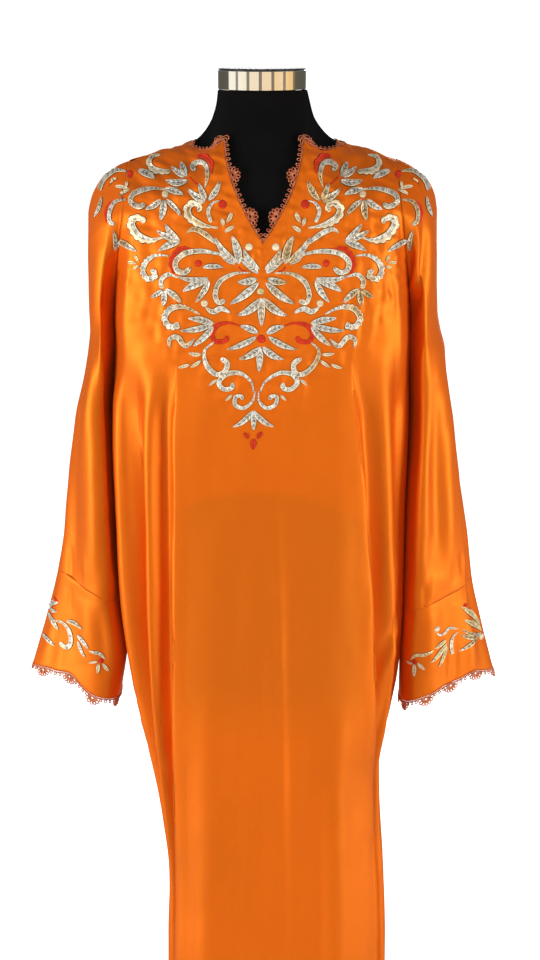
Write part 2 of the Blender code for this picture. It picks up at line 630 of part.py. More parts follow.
def turned(name, profile, finish, segments=48):
    """A closed round body: profile gives (radius, z) from its lower face to its upper one."""
    turns = [2 * math.pi * i / segments for i in range(segments)]
    rows = [[Vector((r * math.cos(a), r * math.sin(a), z)) for a in turns] for r, z in profile]
    return solid(name, rows, finish)


def form_row(z):
    """A ring of the dress form, from its left side round the front."""
    own = {name: float(f(z)) for name, f in form.items()}
    own["left"] = own["right"] = own["width"]
    if z > FORM_SHOULDER_Z:
        own = {name: float(f(z + FORM_BELOW_CLOTH)) for name, f in yoke.items()}
    ring = []
    for i in range(FORM_COLUMNS):
        turn = 2 * math.pi * i / FORM_COLUMNS
        x = -math.copysign(abs(math.cos(turn)) ** (2 / own["power"]), math.cos(turn))
        x *= own[side_of(x)]
        way = "front" if i <= FORM_COLUMNS // 2 else "back"
        y = abs(math.sin(turn)) ** (2 / own["power"]) * own[way]
        if z > UNDERARM_Z and abs(math.sin(turn)) > 1e-6:
            cover = yoke_depth(x, z + FORM_BELOW_CLOTH, way) - FORM_BEHIND_CLOTH
            y = min(y, max(cover, 0.002))
        ring.append(Vector((x, -y if way == "front" else y, z)))
    return ring


def neckline():
    """The neckline from the foot of the slit up its left edge, round behind and down its right edge.
    Each point is (x, z, way, and the way into the opening as seen from the front)."""
    stretches = (
        ("front", 1, front_top_edge("left")[:-SHOULDER_COLUMNS]),
        ("back", -1, back_top_edge("left")[-SHOULDER_COLUMNS - 1:0:-1]
         + back_top_edge("right")[:-SHOULDER_COLUMNS]),
        ("front", 1, front_top_edge("right")[-SHOULDER_COLUMNS - 1::-1]),
    )
    line = []
    for way, turn, points in stretches:
        along = np.diff(np.array(points), axis=0)
        across = turn * np.stack([along[:, 1], -along[:, 0]], axis=1)
        across /= np.linalg.norm(across, axis=1)[:, None]
        before, after = np.vstack([across[:1], across]), np.vstack([across, across[-1:]])
        mitre = (before + after) / (1 + np.sum(before * after, axis=1))[:, None]
        for i in (0, -1):
            x = points[i][0]
            if abs(x) > NECK_POINT_X["left"] / 2:
                run = -math.copysign(LACE_STEP, x)
                mitre[i] = Vector((run, ridge_height(x + run) - ridge_height(x))).normalized()
        line += [(x, z, way, *into) for (x, z), into in zip(points, mitre)]
    return line


def neck_lace_path():
    """How far round the neckline goes, a point of its lace for a place round it and a height, and the
    places of its two corners."""
    line = neckline()
    feet = [yoke_point(x, z, way) for x, z, way, _, _ in line]
    steps = [0.0]
    for a, b in zip(feet, feet[1:]):
        steps.append(steps[-1] + (b - a).length)

    def at(place_along, height):
        i = min(int(np.searchsorted(steps, place_along, side="right")) - 1, len(line) - 2)
        t = (place_along - steps[i]) / max(steps[i + 1] - steps[i], 1e-9)
        way = line[i][2]
        x, z, into_x, into_z = (line[i][k] + (line[i + 1][k] - line[i][k]) * t for k in (0, 1, 3, 4))

        def reach(h):
            px, pz = x + into_x * h, z + into_z * h
            return yoke_point(px, min(pz, ridge_height(px) - SEAM_GAP), way)

        start = reach(0.0)
        slant = (reach(0.003) - start).length / 0.003
        foot = feet[i].lerp(feet[i + 1], t)
        return foot + reach((height + LACE_GAP) / max(slant, 1.0)) - start

    corner = steps[SLIT_COLUMNS]
    return steps[-1], at, (corner, steps[-1] - corner)


def cuff_lace_path(side):
    """The same for the lower edge of a cuff."""
    levels = SLEEVE_LEFT if side == "left" else SLEEVE_RIGHT
    edge, above = (sleeve_ring(side, levels[-1].z + up, 48, 8) for up in (0.0, 0.006))
    if side == "left":
        edge, above = list(reversed(edge)), list(reversed(above))
    edge, above = edge + edge[:1], above + above[:1]
    steps = [0.0]
    for a, b in zip(edge, edge[1:]):
        steps.append(steps[-1] + (b - a).length)

    def at(place_along, height):
        foot, higher = (Vector(np.interp(place_along, steps, [p[k] for p in points]) for k in range(3))
                        for points in (edge, above))
        return foot + (foot - higher).normalized() * (height + LACE_GAP)

    return steps[-1], at, ()


def lace(name, path, fans, finish):
    """A strip of lace along the whole of a closed edge, with a fan at each of the given places."""
    length, at, corners = path
    shape = [(share - 0.5, LACE_BAND + (FAN_HEIGHT - LACE_BAND) * math.sin(math.pi * share) ** 0.55)
             for share in (0.0, 0.18, 0.36, 0.5, 0.64, 0.82, 1.0)]
    places = [(fan + share * FAN_WIDTH, height) for fan in fans for share, height in shape]
    for before, after in zip(fans, [*fans[1:], fans[0] + length]):
        start, end = before + FAN_WIDTH / 2, after - FAN_WIDTH / 2
        count = round((end - start) / LACE_STEP)
        plain = [(start + (end - start) * i / count) % length for i in range(1, count)]
        places += [(p, None) for p in plain if all(abs(p - corner) > LACE_STEP / 2 for corner in corners)]
    places += [(corner, None) for corner in corners]
    places.sort(key=lambda entry: entry[0])
    top = [None if height is None else at(p, height) for p, height in places]
    rows = [top, [at(p, LACE_BAND) for p, _ in places], [at(p, 0.0) for p, _ in places]]
    return sheet(name, rows, finish, ring=True)


def build():
    finishes = {name: material(name) for name in COLOURS}
    silk, trim = finishes["silk"], finishes["lace"]
    sheet("front_panel", whole_panel("front"), silk)
    sheet("back_panel", whole_panel("back"), silk)
    for side in SIDES:
        sheet(f"{side}_sleeve", sleeve_rows(side), silk, ring=True)
        sheet(f"{side}_cuff", cuff_rows(side), silk, ring=True)
        path = cuff_lace_path(side)
        count = round(path[0] / CUFF_FAN_PITCH)
        lace(f"{side}_cuff_lace", path, [(i + 0.5) * path[0] / count for i in range(count)], trim)
    path = neck_lace_path()
    lace("neck_lace", path, [*NECK_FANS, *(path[0] - place for place in reversed(NECK_FANS))], trim)

    low = [row.z for row in reversed(FORM)]
    high = [FORM_SHOULDER_Z + (NECK_TOP_Z - FORM_SHOULDER_Z) * t for t in FORM_NECK_ROWS]
    solid("form_torso", [form_row(z) for z in low + high], finishes["jersey"])
    cap_z = NECK_TOP_Z + FACE_GAP
    cap_top = cap_z + CAP_HEIGHT
    turned("neck_cap", ((CAP_RADIUS - CAP_BEVEL, cap_z), (CAP_RADIUS, cap_z + CAP_BEVEL),
                        (CAP_RADIUS, cap_top - CAP_BEVEL), (CAP_RADIUS - CAP_BEVEL, cap_top)),
           finishes["chrome"])
    turned("pole", ((POLE_RADIUS, BASE_HEIGHT + FACE_GAP), (POLE_RADIUS, FORM[-1].z - FACE_GAP)),
           finishes["chrome"], 32)
    turned("base", ((BASE_RADIUS, 0.0), (BASE_RADIUS, BASE_HEIGHT - BASE_EDGE),
                    (BASE_RADIUS - BASE_EDGE, BASE_HEIGHT)), finishes["stand"], 64)


for old in list(bpy.data.objects):
    bpy.data.objects.remove(old, do_unlink=True)
parts = bpy.data.collections.new("silk_dress")
bpy.context.scene.collection.children.link(parts)
build()
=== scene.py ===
"""The looks of a silk kaftan dress on its dress form: satin, embroidery, crocheted lace and hardware."""

import math
from collections import namedtuple

import bpy
import numpy as np
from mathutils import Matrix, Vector
from mathutils.bvhtree import BVHTree


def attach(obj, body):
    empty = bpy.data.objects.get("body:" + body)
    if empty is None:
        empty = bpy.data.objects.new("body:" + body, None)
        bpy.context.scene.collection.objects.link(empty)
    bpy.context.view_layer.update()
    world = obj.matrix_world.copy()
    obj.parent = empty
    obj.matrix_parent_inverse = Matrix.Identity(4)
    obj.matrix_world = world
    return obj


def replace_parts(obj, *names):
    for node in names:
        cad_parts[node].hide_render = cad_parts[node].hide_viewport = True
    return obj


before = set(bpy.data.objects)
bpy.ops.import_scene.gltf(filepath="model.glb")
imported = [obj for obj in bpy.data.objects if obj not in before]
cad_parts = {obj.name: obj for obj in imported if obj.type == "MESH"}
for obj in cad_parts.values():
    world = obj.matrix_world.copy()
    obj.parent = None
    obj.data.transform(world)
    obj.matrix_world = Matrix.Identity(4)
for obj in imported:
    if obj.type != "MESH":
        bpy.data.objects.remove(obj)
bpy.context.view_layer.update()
bpy.context.scene.view_settings.view_transform = "Standard"

# Driving sizes
SEAM_GAP = 0.0003  # pieces stay this far apart where they are sewn
HEM_Z = 0.060
UNDERARM_Z = 1.235
SHOULDER_POINT_X = 0.165  # where the armhole seam crosses the shoulder
ARMHOLE_X = 0.184  # half the width between the armhole seams at the underarm
CREASE_TOP_Z = 1.410  # the crease between body and sleeve begins here
CREASE_DEPTH = 0.046
CREASE_WIDTH = 0.016
UNDERARM_BLEND = 0.095  # below the underarm the body takes this height to find its own shape
SLEEVE_BLEND = 0.110

# Neckline
NECK_SLIT_Z = 1.3535
NECK_SLIT_X = 0.0015
NECK_CORNER_X = {"left": 0.0455, "right": 0.0500}
NECK_CORNER_Z = 1.470
NECK_SLIT_CURVE = 1.75
NECK_POINT_X = {"left": 0.0925, "right": 0.1030}  # where the neckline crosses the shoulder seam
NECK_DIP = 0.0085
BACK_NECK_Z = 1.452

# Dress form and stand
FORM_BELOW_CLOTH = 0.0025  # how far the form's shoulders lie below the outside of the cloth
FORM_BEHIND_CLOTH = 0.0062
FORM_SHOULDER_Z = 1.436  # above this height the form follows the dress
NECK_TOP_Z = 1.5275
CAP_RADIUS = 0.0535
CAP_HEIGHT = 0.0260
POLE_RADIUS = 0.016
BASE_RADIUS = 0.170
BASE_HEIGHT = 0.010
BASE_EDGE = 0.003
FACE_GAP = 0.0003  # between hard pieces that rest face to face

# Lace, which goes on beyond the cloth's edge
LACE_GAP = 0.0009
LACE_STEP = 0.008
NECK_FANS = (0.036, 0.091, 0.147, 0.203, 0.258)  # along each side of the neckline from the slit's foot
CUFF_FAN_PITCH = 0.040


def table(columns, *rows):
    """A table's rows, with named columns."""
    row_type = namedtuple("Row", columns)
    return tuple(row_type(*row) for row in rows)


# Outline of the yoke, with the upper sleeves: half widths, depth in front and behind, and squareness.
# The dress hangs a little to the right on its form.
YOKE = table(
    "z left right front back power",
    (1.535, 0.0535, 0.054, 0.053, 0.053, 2.0),
    (1.516, 0.0555, 0.0585, 0.0545, 0.055, 2.0),
    (1.499, 0.06, 0.0632, 0.057, 0.0585, 2.0),
    (1.486, 0.0665, 0.071, 0.06, 0.062, 2.0),
    (1.472, 0.0785, 0.085, 0.0645, 0.0665, 2.1),
    (1.464, 0.0925, 0.103, 0.068, 0.07, 2.2),
    (1.451, 0.1345, 0.142, 0.0745, 0.076, 2.3),
    (1.436, 0.1775, 0.1815, 0.0815, 0.082, 2.3),
    (1.417, 0.202, 0.2065, 0.0885, 0.0875, 2.4),
    (1.396, 0.2125, 0.2155, 0.095, 0.092, 2.4),
    (1.376, 0.2164, 0.2178, 0.1, 0.095, 2.5),
    (1.335, 0.217, 0.218, 0.109, 0.099, 2.6),
    (1.295, 0.217, 0.2176, 0.115, 0.101, 2.6),
    (1.26, 0.2165, 0.219, 0.1185, 0.102, 2.6),
    (1.235, 0.216, 0.2235, 0.121, 0.103, 2.6),
    (1.21, 0.218, 0.23, 0.1215, 0.1035, 2.6),
    (1.1, 0.222, 0.236, 0.1225, 0.104, 2.7),
)
RIDGE_THIN = 0.60  # the shoulder's share of the full depth at its ridge
RIDGE_FALL = 0.060

# Outline of the body below the underarm
BODY = table(
    "z left right front back power",
    (1.235, 0.185, 0.185, 0.121, 0.103, 2.8),
    (1.15, 0.188, 0.184, 0.1225, 0.1045, 2.9),
    (1.0, 0.186, 0.1815, 0.1205, 0.105, 3.0),
    (0.88, 0.1805, 0.181, 0.119, 0.106, 3.0),
    (0.8, 0.172, 0.178, 0.1185, 0.107, 3.0),
    (0.73, 0.1605, 0.168, 0.118, 0.108, 3.0),
    (0.65, 0.145, 0.1545, 0.1175, 0.11, 3.0),
    (0.57, 0.1315, 0.1575, 0.1175, 0.112, 3.1),
    (0.49, 0.124, 0.163, 0.118, 0.114, 3.2),
    (0.37, 0.126, 0.1665, 0.12, 0.117, 3.3),
    (0.06, 0.131, 0.17, 0.125, 0.123, 3.3),
)

# The edge of the flat front: its distance from the centre along the cloth
FRONT_EDGE = table(
    "z left right",
    (1.235, 0.103, 0.108),
    (1.13, 0.108, 0.12),
    (0.94, 0.111, 0.137),
    (0.75, 0.115, 0.15),
    (0.4, 0.122, 0.161),
    (0.06, 0.126, 0.166),
)

# Folds of the body: where each line runs, as a share, and how far it stands out (+) or lies back (-).
# In the flat front the share is of the way to its edge. Beyond it, it is of the way on to the side seam.
FOLD = "line share chest waist hip hem"
FOLD_HEIGHTS = {"chest": 1.120, "waist": 0.900, "hip": 0.640, "hem": 0.060}
FOLDS_BEGIN_Z = 1.235
FLAT_LEFT = table(
    FOLD,
    ("middle", 0.0, 0.0, -0.002, -0.004, -0.006),
    ("inner slope", 0.28, 0.0, -0.001, -0.001, -0.002),
    ("soft ridge", 0.56, 0.0, 0.002, 0.003, 0.005),
    ("outer slope", 0.82, 0.001, 0.002, 0.004, 0.005),
    ("edge", 1.0, 0.003, 0.005, 0.006, 0.008),
)
FLAT_RIGHT = table(
    FOLD,
    ("middle", 0.0, 0.0, -0.002, -0.004, -0.006),
    ("inner slope", 0.3, 0.0, -0.001, -0.003, -0.004),
    ("soft ridge", 0.6, 0.0, 0.002, 0.004, 0.007),
    ("outer slope", 0.84, 0.001, 0.002, 0.002, 0.003),
    ("edge", 1.0, 0.003, 0.004, 0.005, 0.006),
)
SIDE_LEFT = table(
    FOLD,
    ("lip", 0.012, -0.002, -0.004, -0.003, -0.001),
    ("deep valley", 0.065, -0.007, -0.009, -0.01, -0.012),
    ("ridge", 0.195, 0.007, 0.011, 0.007, 0.004),
    ("dip", 0.37, -0.014, -0.029, -0.028, -0.03),
    ("outer ridge", 0.56, 0.007, 0.008, 0.004, 0.004),
    ("armhole line", 0.84, 0.0, -0.003, -0.01, -0.02),
    ("side seam", 1.0, 0.0, 0.0, 0.0, 0.0),
)
SIDE_RIGHT = table(
    FOLD,
    ("lip", 0.012, -0.002, -0.003, -0.003, -0.001),
    ("deep valley", 0.075, -0.009, -0.014, -0.014, -0.014),
    ("ridge", 0.3, 0.002, 0.006, 0.003, 0.004),
    ("dip", 0.47, -0.008, -0.012, -0.018, -0.026),
    ("outer ridge", 0.68, 0.003, 0.003, 0.001, 0.004),
    ("armhole line", 0.84, 0.0, -0.003, -0.008, -0.016),
    ("side seam", 1.0, 0.0, 0.0, 0.0, 0.0),
)
# Behind, the share is of the whole way from the centre to the side seam.
BACK_FOLDS = table(
    FOLD,
    ("middle", 0.0, 0.0, 0.003, 0.005, 0.007),
    ("valley", 0.17, -0.002, -0.008, -0.014, -0.018),
    ("ridge", 0.33, 0.002, 0.005, 0.007, 0.01),
    ("valley", 0.48, -0.003, -0.01, -0.018, -0.024),
    ("ridge", 0.62, 0.002, 0.004, 0.006, 0.009),
    ("valley", 0.75, -0.002, -0.006, -0.012, -0.02),
    ("armhole line", 0.88, 0.0, 0.002, 0.003, 0.006),
    ("side seam", 1.0, 0.0, 0.0, 0.0, 0.0),
)

# Outline of each sleeve below the underarm: its inner and outer sides, its depth, and how much higher
# the outer side of the ring lies
SLEEVE_LEVEL = "z inner outer front back rise"
SLEEVE_LEFT = table(
    SLEEVE_LEVEL,
    (1.235, 0.186, 0.22, 0.068, 0.068, 0.0),
    (1.14, 0.1925, 0.233, 0.066, 0.064, 0.0),
    (1.04, 0.1915, 0.247, 0.062, 0.061, 0.008),
    (0.95, 0.1885, 0.259, 0.0585, 0.0575, 0.026),
    (0.9025, 0.1842, 0.2665, 0.0562, 0.0552, 0.037),
    (0.835, 0.1775, 0.284, 0.052, 0.0516, 0.037),
    (0.7665, 0.187, 0.305, 0.048, 0.048, 0.035),
)
SLEEVE_RIGHT = table(
    SLEEVE_LEVEL,
    (1.235, 0.186, 0.23, 0.068, 0.068, 0.0),
    (1.14, 0.19, 0.239, 0.066, 0.064, 0.0),
    (1.04, 0.1872, 0.253, 0.062, 0.061, 0.01),
    (0.93, 0.185, 0.269, 0.058, 0.057, 0.026),
    (0.888, 0.1828, 0.274, 0.055, 0.054, 0.034),
    (0.82, 0.1806, 0.2895, 0.0518, 0.0512, 0.038),
    (0.7575, 0.1812, 0.306, 0.048, 0.048, 0.04),
)
CUFF_SEAM_Z = {"left": 0.9025, "right": 0.8880}
CUFF_HEM_Z = {"left": 0.7665, "right": 0.7575}
SLEEVE_POWER = 2.8
SLEEVE_LEAN = 0.45  # how far the sleeve's front slopes back towards its outer side, for its width
LEAN_TOP_Z, LEAN_FALL = 1.20, 0.15  # it begins here and is full this far below
SLEEVE_OPEN_SHARE = 0.89  # of the way round, from the front of the armhole line to its back
SLEEVE_START_TURN = 0.30  # the armhole line's place on the sleeve's inner side, as a share of its depth
SLEEVE_FOLD = "line share top elbow seam cuff"
SLEEVE_FOLD_HEIGHTS = {"top": 1.200, "elbow": 1.040, "seam": 0.880, "cuff": 0.755}
SLEEVE_FOLDS_LEFT = table(
    SLEEVE_FOLD,
    ("armhole line", 0.0, 0.0, 0.0, 0.0, 0.0),
    ("front ridge", 0.16, 0.0, 0.003, 0.002, 0.001),
    ("front dip", 0.26, -0.002, -0.004, -0.003, -0.002),
    ("outer lip", 0.34, 0.001, 0.003, 0.001, 0.001),
    ("outer valley", 0.375, -0.004, -0.008, -0.003, 0.0),
    ("outer edge", 0.44, 0.0, 0.0, 0.0, 0.0),
    ("back dip", 0.6, -0.003, -0.008, -0.006, -0.003),
    ("back ridge", 0.73, 0.001, 0.002, 0.002, 0.002),
    ("inner back", 0.89, 0.0, -0.003, -0.003, -0.001),
    ("armhole line again", 1.0, 0.0, 0.0, 0.0, 0.0),
)
SLEEVE_FOLDS_RIGHT = table(
    SLEEVE_FOLD,
    ("armhole line", 0.0, 0.0, 0.0, 0.0, 0.0),
    ("front ridge", 0.15, 0.0, 0.002, 0.002, 0.001),
    ("front dip", 0.23, -0.001, -0.002, -0.002, -0.002),
    ("outer lip", 0.31, 0.001, 0.003, 0.002, 0.001),
    ("outer valley", 0.35, -0.005, -0.009, -0.006, 0.0),
    ("outer edge", 0.43, 0.0, 0.0, 0.0, 0.0),
    ("back dip", 0.6, -0.003, -0.007, -0.006, -0.003),
    ("back ridge", 0.73, 0.001, 0.002, 0.002, 0.002),
    ("inner back", 0.89, 0.0, -0.003, -0.003, -0.001),
    ("armhole line again", 1.0, 0.0, 0.0, 0.0, 0.0),
)

# The form below its shoulders: a plain figure with no arms
FORM = table(
    "z width front back power",
    (1.436, 0.17, 0.076, 0.077, 2.3),
    (1.41, 0.184, 0.085, 0.084, 2.4),
    (1.376, 0.188, 0.094, 0.09, 2.5),
    (1.33, 0.18, 0.104, 0.094, 2.5),
    (1.28, 0.168, 0.111, 0.095, 2.5),
    (1.22, 0.158, 0.116, 0.093, 2.5),
    (1.16, 0.148, 0.111, 0.088, 2.4),
    (1.1, 0.134, 0.096, 0.082, 2.3),
    (1.04, 0.124, 0.086, 0.079, 2.3),
    (0.97, 0.136, 0.088, 0.084, 2.3),
    (0.9, 0.15, 0.09, 0.091, 2.4),
    (0.83, 0.156, 0.09, 0.093, 2.4),
    (0.77, 0.154, 0.087, 0.09, 2.4),
    (0.745, 0.15, 0.083, 0.086, 2.4),
    (0.74, 0.144, 0.077, 0.08, 2.4),
)

# The part's own grid of the cloth, which is made finer here
UNDERARM_TO_TOP = (0.0, 0.17, 0.34, 0.50, 0.64, 0.76, 0.86, 0.93, 0.972, 0.992, 1.0)
BODY_ROWS = (HEM_Z, 0.150, 0.260, 0.370, 0.460, 0.540, 0.610, 0.680, 0.750, 0.820, 0.890,
             0.960, 1.030, 1.090, 1.145, 1.180, 1.210, 1.235)
SLIT_COLUMNS = 7
NECK_COLUMNS = 4
BACK_NECK_COLUMNS = 6
SHOULDER_COLUMNS = 4
FRONT_COLUMNS = ((0, 0), (0, 0.35), (0, 0.7), (1, 0), (1, 0.5), (2, 0), (3, 0), (4, 0), (5, 0),
                 (6, 0), (6, 0.5), (7, 0), (7, 0.5), (8, 0), (9, 0), (10, 0), (10, 0.5), (11, 0))
BACK_COLUMNS = ((0, 0), (0, 0.5), (1, 0), (1, 0.5), (2, 0), (3, 0), (3, 0.5), (4, 0), (5, 0),
                (5, 0.5), (6, 0), (6, 0.5), (7, 0))
SAMPLES = 240  # along a quarter of an outline
CAP_SAMPLES = 61
CAP_ROWS_CLOSER = 1.7  # how much closer the sleeve's rows lie at the shoulder's tip
HIDE_POWER = 1.3  # how sharply the crease between body and sleeve closes
SIDES = {"left": -1, "right": 1}


def track(heights, values):
    """A smooth function of height through the given values, with no overshoot between them."""
    order = np.argsort(heights)
    z = np.asarray(heights, float)[order]
    v = np.asarray(values, float)[order]
    step = np.diff(z)
    rate = np.diff(v) / step
    slope = np.empty_like(v)
    slope[0], slope[-1] = rate[0], rate[-1]
    for i in range(1, len(v) - 1):
        before, after = rate[i - 1], rate[i]
        slope[i] = 0.0 if before * after <= 0 else 2 * before * after / (before + after)

    def value(height):
        h = np.clip(height, z[0], z[-1])
        i = np.clip(np.searchsorted(z, h, side="right") - 1, 0, len(step) - 1)
        t = (h - z[i]) / step[i]
        rise = (3 - 2 * t) * t * t
        curve = v[i] * (1 - rise) + v[i + 1] * rise
        return curve + step[i] * t * (1 - t) * (slope[i] * (1 - t) - slope[i + 1] * t)

    return value


def tracks(table):
    """One smooth function of height for each named column of a table."""
    heights = [row.z for row in table]
    names = [name for name in table[0]._fields if name != "z"]
    return {name: track(heights, [getattr(row, name) for row in table]) for name in names}


def ease(t):
    """Smooth step from 0 to 1."""
    t = np.clip(t, 0.0, 1.0)
    return t * t * (3 - 2 * t)


yoke = tracks(YOKE)
body = tracks(BODY)
front_edge = tracks(FRONT_EDGE)
form = tracks(FORM)
sleeve = {"left": tracks(SLEEVE_LEFT), "right": tracks(SLEEVE_RIGHT)}

RIDGE_Z = np.linspace(1.535, 1.330, 500)
ridge_reach = {side: np.maximum.accumulate(yoke[side](RIDGE_Z)) for side in SIDES}


def by_side(x, left, right):
    return np.where(np.asarray(x) < 0, left, right)


def ridge_height(x):
    """Height of the shoulder's ridge, or of the side below it, at places across the body."""
    x = np.asarray(x, float)
    heights = [np.interp(np.abs(x), ridge_reach[side], RIDGE_Z) for side in ("left", "right")]
    return by_side(x, *heights)


def armhole_x(z, side):
    top = float(ridge_height(SIDES[side] * SHOULDER_POINT_X))
    return SHOULDER_POINT_X + (ARMHOLE_X - SHOULDER_POINT_X) * ease((top - z) / (top - UNDERARM_Z))


def yoke_depth(x, z, way):
    """How far the yoke stands in front of the shoulder ridge, or behind it."""
    x, z = np.asarray(x, float), np.asarray(z, float)
    width = by_side(x, yoke["left"](z), yoke["right"](z))
    power = yoke["power"](z)
    inside = np.maximum(0, 1 - (np.minimum(np.abs(x), width) / width) ** power) ** (1 / power)
    thin = RIDGE_THIN + (1 - RIDGE_THIN) * ease((ridge_height(x) - z) / RIDGE_FALL)
    return yoke[way](z) * inside * thin


def yoke_points(x, z, way):
    """Points of the yoke's outside."""
    x, z = np.broadcast_arrays(np.asarray(x, float), np.asarray(z, float))
    seam = by_side(x, armhole_x(z, "left"), armhole_x(z, "right"))
    near = 1 - np.minimum(1, np.abs(np.abs(x) - seam) / CREASE_WIDTH)
    drawn_in = CREASE_DEPTH * ease((CREASE_TOP_Z - z) / (CREASE_TOP_Z - UNDERARM_Z)) * near**HIDE_POWER
    depth = np.maximum(SEAM_GAP, yoke_depth(x, z, way) - drawn_in)
    return np.stack([x, -depth if way == "front" else depth, z], axis=-1)


def top_edge(side, way, index):
    """(x, z) of a panel's top edge at places counted in the part's columns."""
    index = np.asarray(index, float)
    sign = SIDES[side]
    point = sign * NECK_POINT_X[side]
    point_z = float(ridge_height(point))
    if way == "front":
        corner = sign * NECK_CORNER_X[side]
        t = np.clip(index / SLIT_COLUMNS, 0, 1)
        slit_x = corner + (NECK_SLIT_X - corner) * (1 - t) ** NECK_SLIT_CURVE
        slit_z = NECK_SLIT_Z + (NECK_CORNER_Z - NECK_SLIT_Z) * t
        t = np.clip((index - SLIT_COLUMNS) / NECK_COLUMNS, 0, 1)
        neck_x = corner + (point - corner) * t
        neck_z = NECK_CORNER_Z + (point_z - NECK_CORNER_Z) * t - NECK_DIP * np.sin(math.pi * t)
        x = np.where(index < SLIT_COLUMNS, slit_x, neck_x)
        z = np.where(index < SLIT_COLUMNS, slit_z, neck_z)
        first = SLIT_COLUMNS + NECK_COLUMNS
    else:
        t = np.clip(index / BACK_NECK_COLUMNS, 0, 1)
        x = NECK_SLIT_X + (point - NECK_SLIT_X) * t
        z = BACK_NECK_Z + (point_z - BACK_NECK_Z) * t**3
        first = BACK_NECK_COLUMNS
    t = np.clip((index - first) / SHOULDER_COLUMNS, 0, 1)
    along = sign * (NECK_POINT_X[side] + (SHOULDER_POINT_X - SEAM_GAP / 2 - NECK_POINT_X[side]) * t)
    on_shoulder = index > first
    return np.where(on_shoulder, along, x), np.where(on_shoulder, ridge_height(along), z)


def outline(width, depth, power):
    """Points of a quarter of a rounded outline, from the middle of its face to its side, and their
    distance along it."""
    turn = np.linspace(0, math.pi / 2, SAMPLES)
    x = width * np.sin(turn) ** (2 / power)
    y = depth * np.cos(turn) ** (2 / power)
    length = np.concatenate([[0], np.cumsum(np.hypot(np.diff(x), np.diff(y)))])
    return x, y, length


def fold_depths(folds, z):
    """How far each fold line stands out at a height."""
    levels = [FOLDS_BEGIN_Z, *FOLD_HEIGHTS.values()]
    return [float(track(levels, [0.0, *fold[2:]])(z)) for fold in folds]


def body_lines(side, way, z):
    """Where each fold line runs at a height, as a distance along the cloth from the centre, with how far
    it stands out. The last line is the side seam."""
    width, depth = float(body[side](z)), float(body[way](z))
    length = outline(width, depth, float(body["power"](z)))[2][-1]
    if way == "back":
        return [fold.share * length for fold in BACK_FOLDS], fold_depths(BACK_FOLDS, z)
    flat, beyond = (FLAT_LEFT, SIDE_LEFT) if side == "left" else (FLAT_RIGHT, SIDE_RIGHT)
    edge = float(front_edge[side](z))
    places = [fold.share * edge for fold in flat]
    places += [edge + fold.share * (length - edge) for fold in beyond]
    return places, fold_depths(flat, z) + fold_depths(beyond, z)


def body_points(side, way, z, places):
    """Points of the body's outside at a height, at given distances along the cloth from the centre."""
    x, y, length = outline(float(body[side](z)), float(body[way](z)), float(body["power"](z)))
    lines, stands = body_lines(side, way, z)
    out = track(lines, stands)(places)
    px, py = np.interp(places, length, x), np.interp(places, length, y)
    dx, dy = np.gradient(x, length), np.gradient(y, length)
    nx, ny = -np.interp(places, length, dy), np.interp(places, length, dx)
    scale = np.hypot(nx, ny)
    px, py = px + out * nx / scale, np.maximum(SEAM_GAP / 2, py + out * ny / scale)
    return np.stack([SIDES[side] * px, -py if way == "front" else py, np.full_like(px, z)], axis=-1)


def finer(values, parts):
    """The same values with more at equal steps between them."""
    index = np.linspace(0, len(values) - 1, (len(values) - 1) * parts + 1)
    return np.interp(index, np.arange(len(values)), values)


def half_panel(side, way, columns_each, rows_each):
    """Rows of points from the hem to the top edge, from the centre to the armhole or side seam. Above
    the underarm the part beyond the armhole seam is missing, as nan."""
    table = FRONT_COLUMNS if way == "front" else BACK_COLUMNS
    arm = (SLIT_COLUMNS + NECK_COLUMNS if way == "front" else BACK_NECK_COLUMNS) + SHOULDER_COLUMNS
    index = finer(np.arange(len(table)), columns_each)
    arm_index = arm * columns_each

    def places(z):
        lines = [*body_lines(side, way, z)[0], 0.0]
        at_columns = [lines[i] + share * (lines[i + 1] - lines[i]) for i, share in table]
        return np.interp(index, np.arange(len(table)), at_columns)

    low_x = body_points(side, way, UNDERARM_Z, places(UNDERARM_Z))[: arm_index + 1, 0]
    low_x = low_x * (ARMHOLE_X - SEAM_GAP / 2) / abs(low_x[-1])
    beyond = len(index) - len(low_x)
    rows = []
    for z in finer(BODY_ROWS, rows_each):
        own = body_points(side, way, z, places(z))
        share = float(ease((z - UNDERARM_Z + UNDERARM_BLEND) / UNDERARM_BLEND))
        if share > 0:
            up = yoke_points(low_x, z, way)
            t = (np.arange(beyond) + 1)[:, None] / beyond
            seam = np.array([up[-1, 0], math.copysign(SEAM_GAP / 2, up[-1, 1]), z])
            own = own * (1 - share) + np.vstack([up, up[-1] + (seam - up[-1]) * t]) * share
        rows.append(own)
    top_x, top_z = top_edge(side, way, index[: arm_index + 1])
    for t in finer(UNDERARM_TO_TOP, rows_each)[1:]:
        z = UNDERARM_Z + (top_z - UNDERARM_Z) * t
        row = yoke_points(low_x + (top_x - low_x) * float(ease(t)), z, way)
        rows.append(np.vstack([row, np.full((beyond, 3), np.nan)]))
    return np.array(rows)


def whole_panel(way, columns_each, rows_each):
    first, second = ("left", "right") if way == "front" else ("right", "left")
    halves = [half_panel(side, way, columns_each, rows_each) for side in (first, second)]
    return np.concatenate([halves[0][:, ::-1], halves[1][:, 1:]], axis=1)


def spaced(line, count):
    """Points at equal steps along a line of points."""
    steps = np.concatenate([[0], np.cumsum(np.linalg.norm(np.diff(line, axis=0), axis=1))])
    places = np.linspace(0, steps[-1], count + 1)
    return np.stack([np.interp(places, steps, line[:, k]) for k in range(3)], axis=-1)


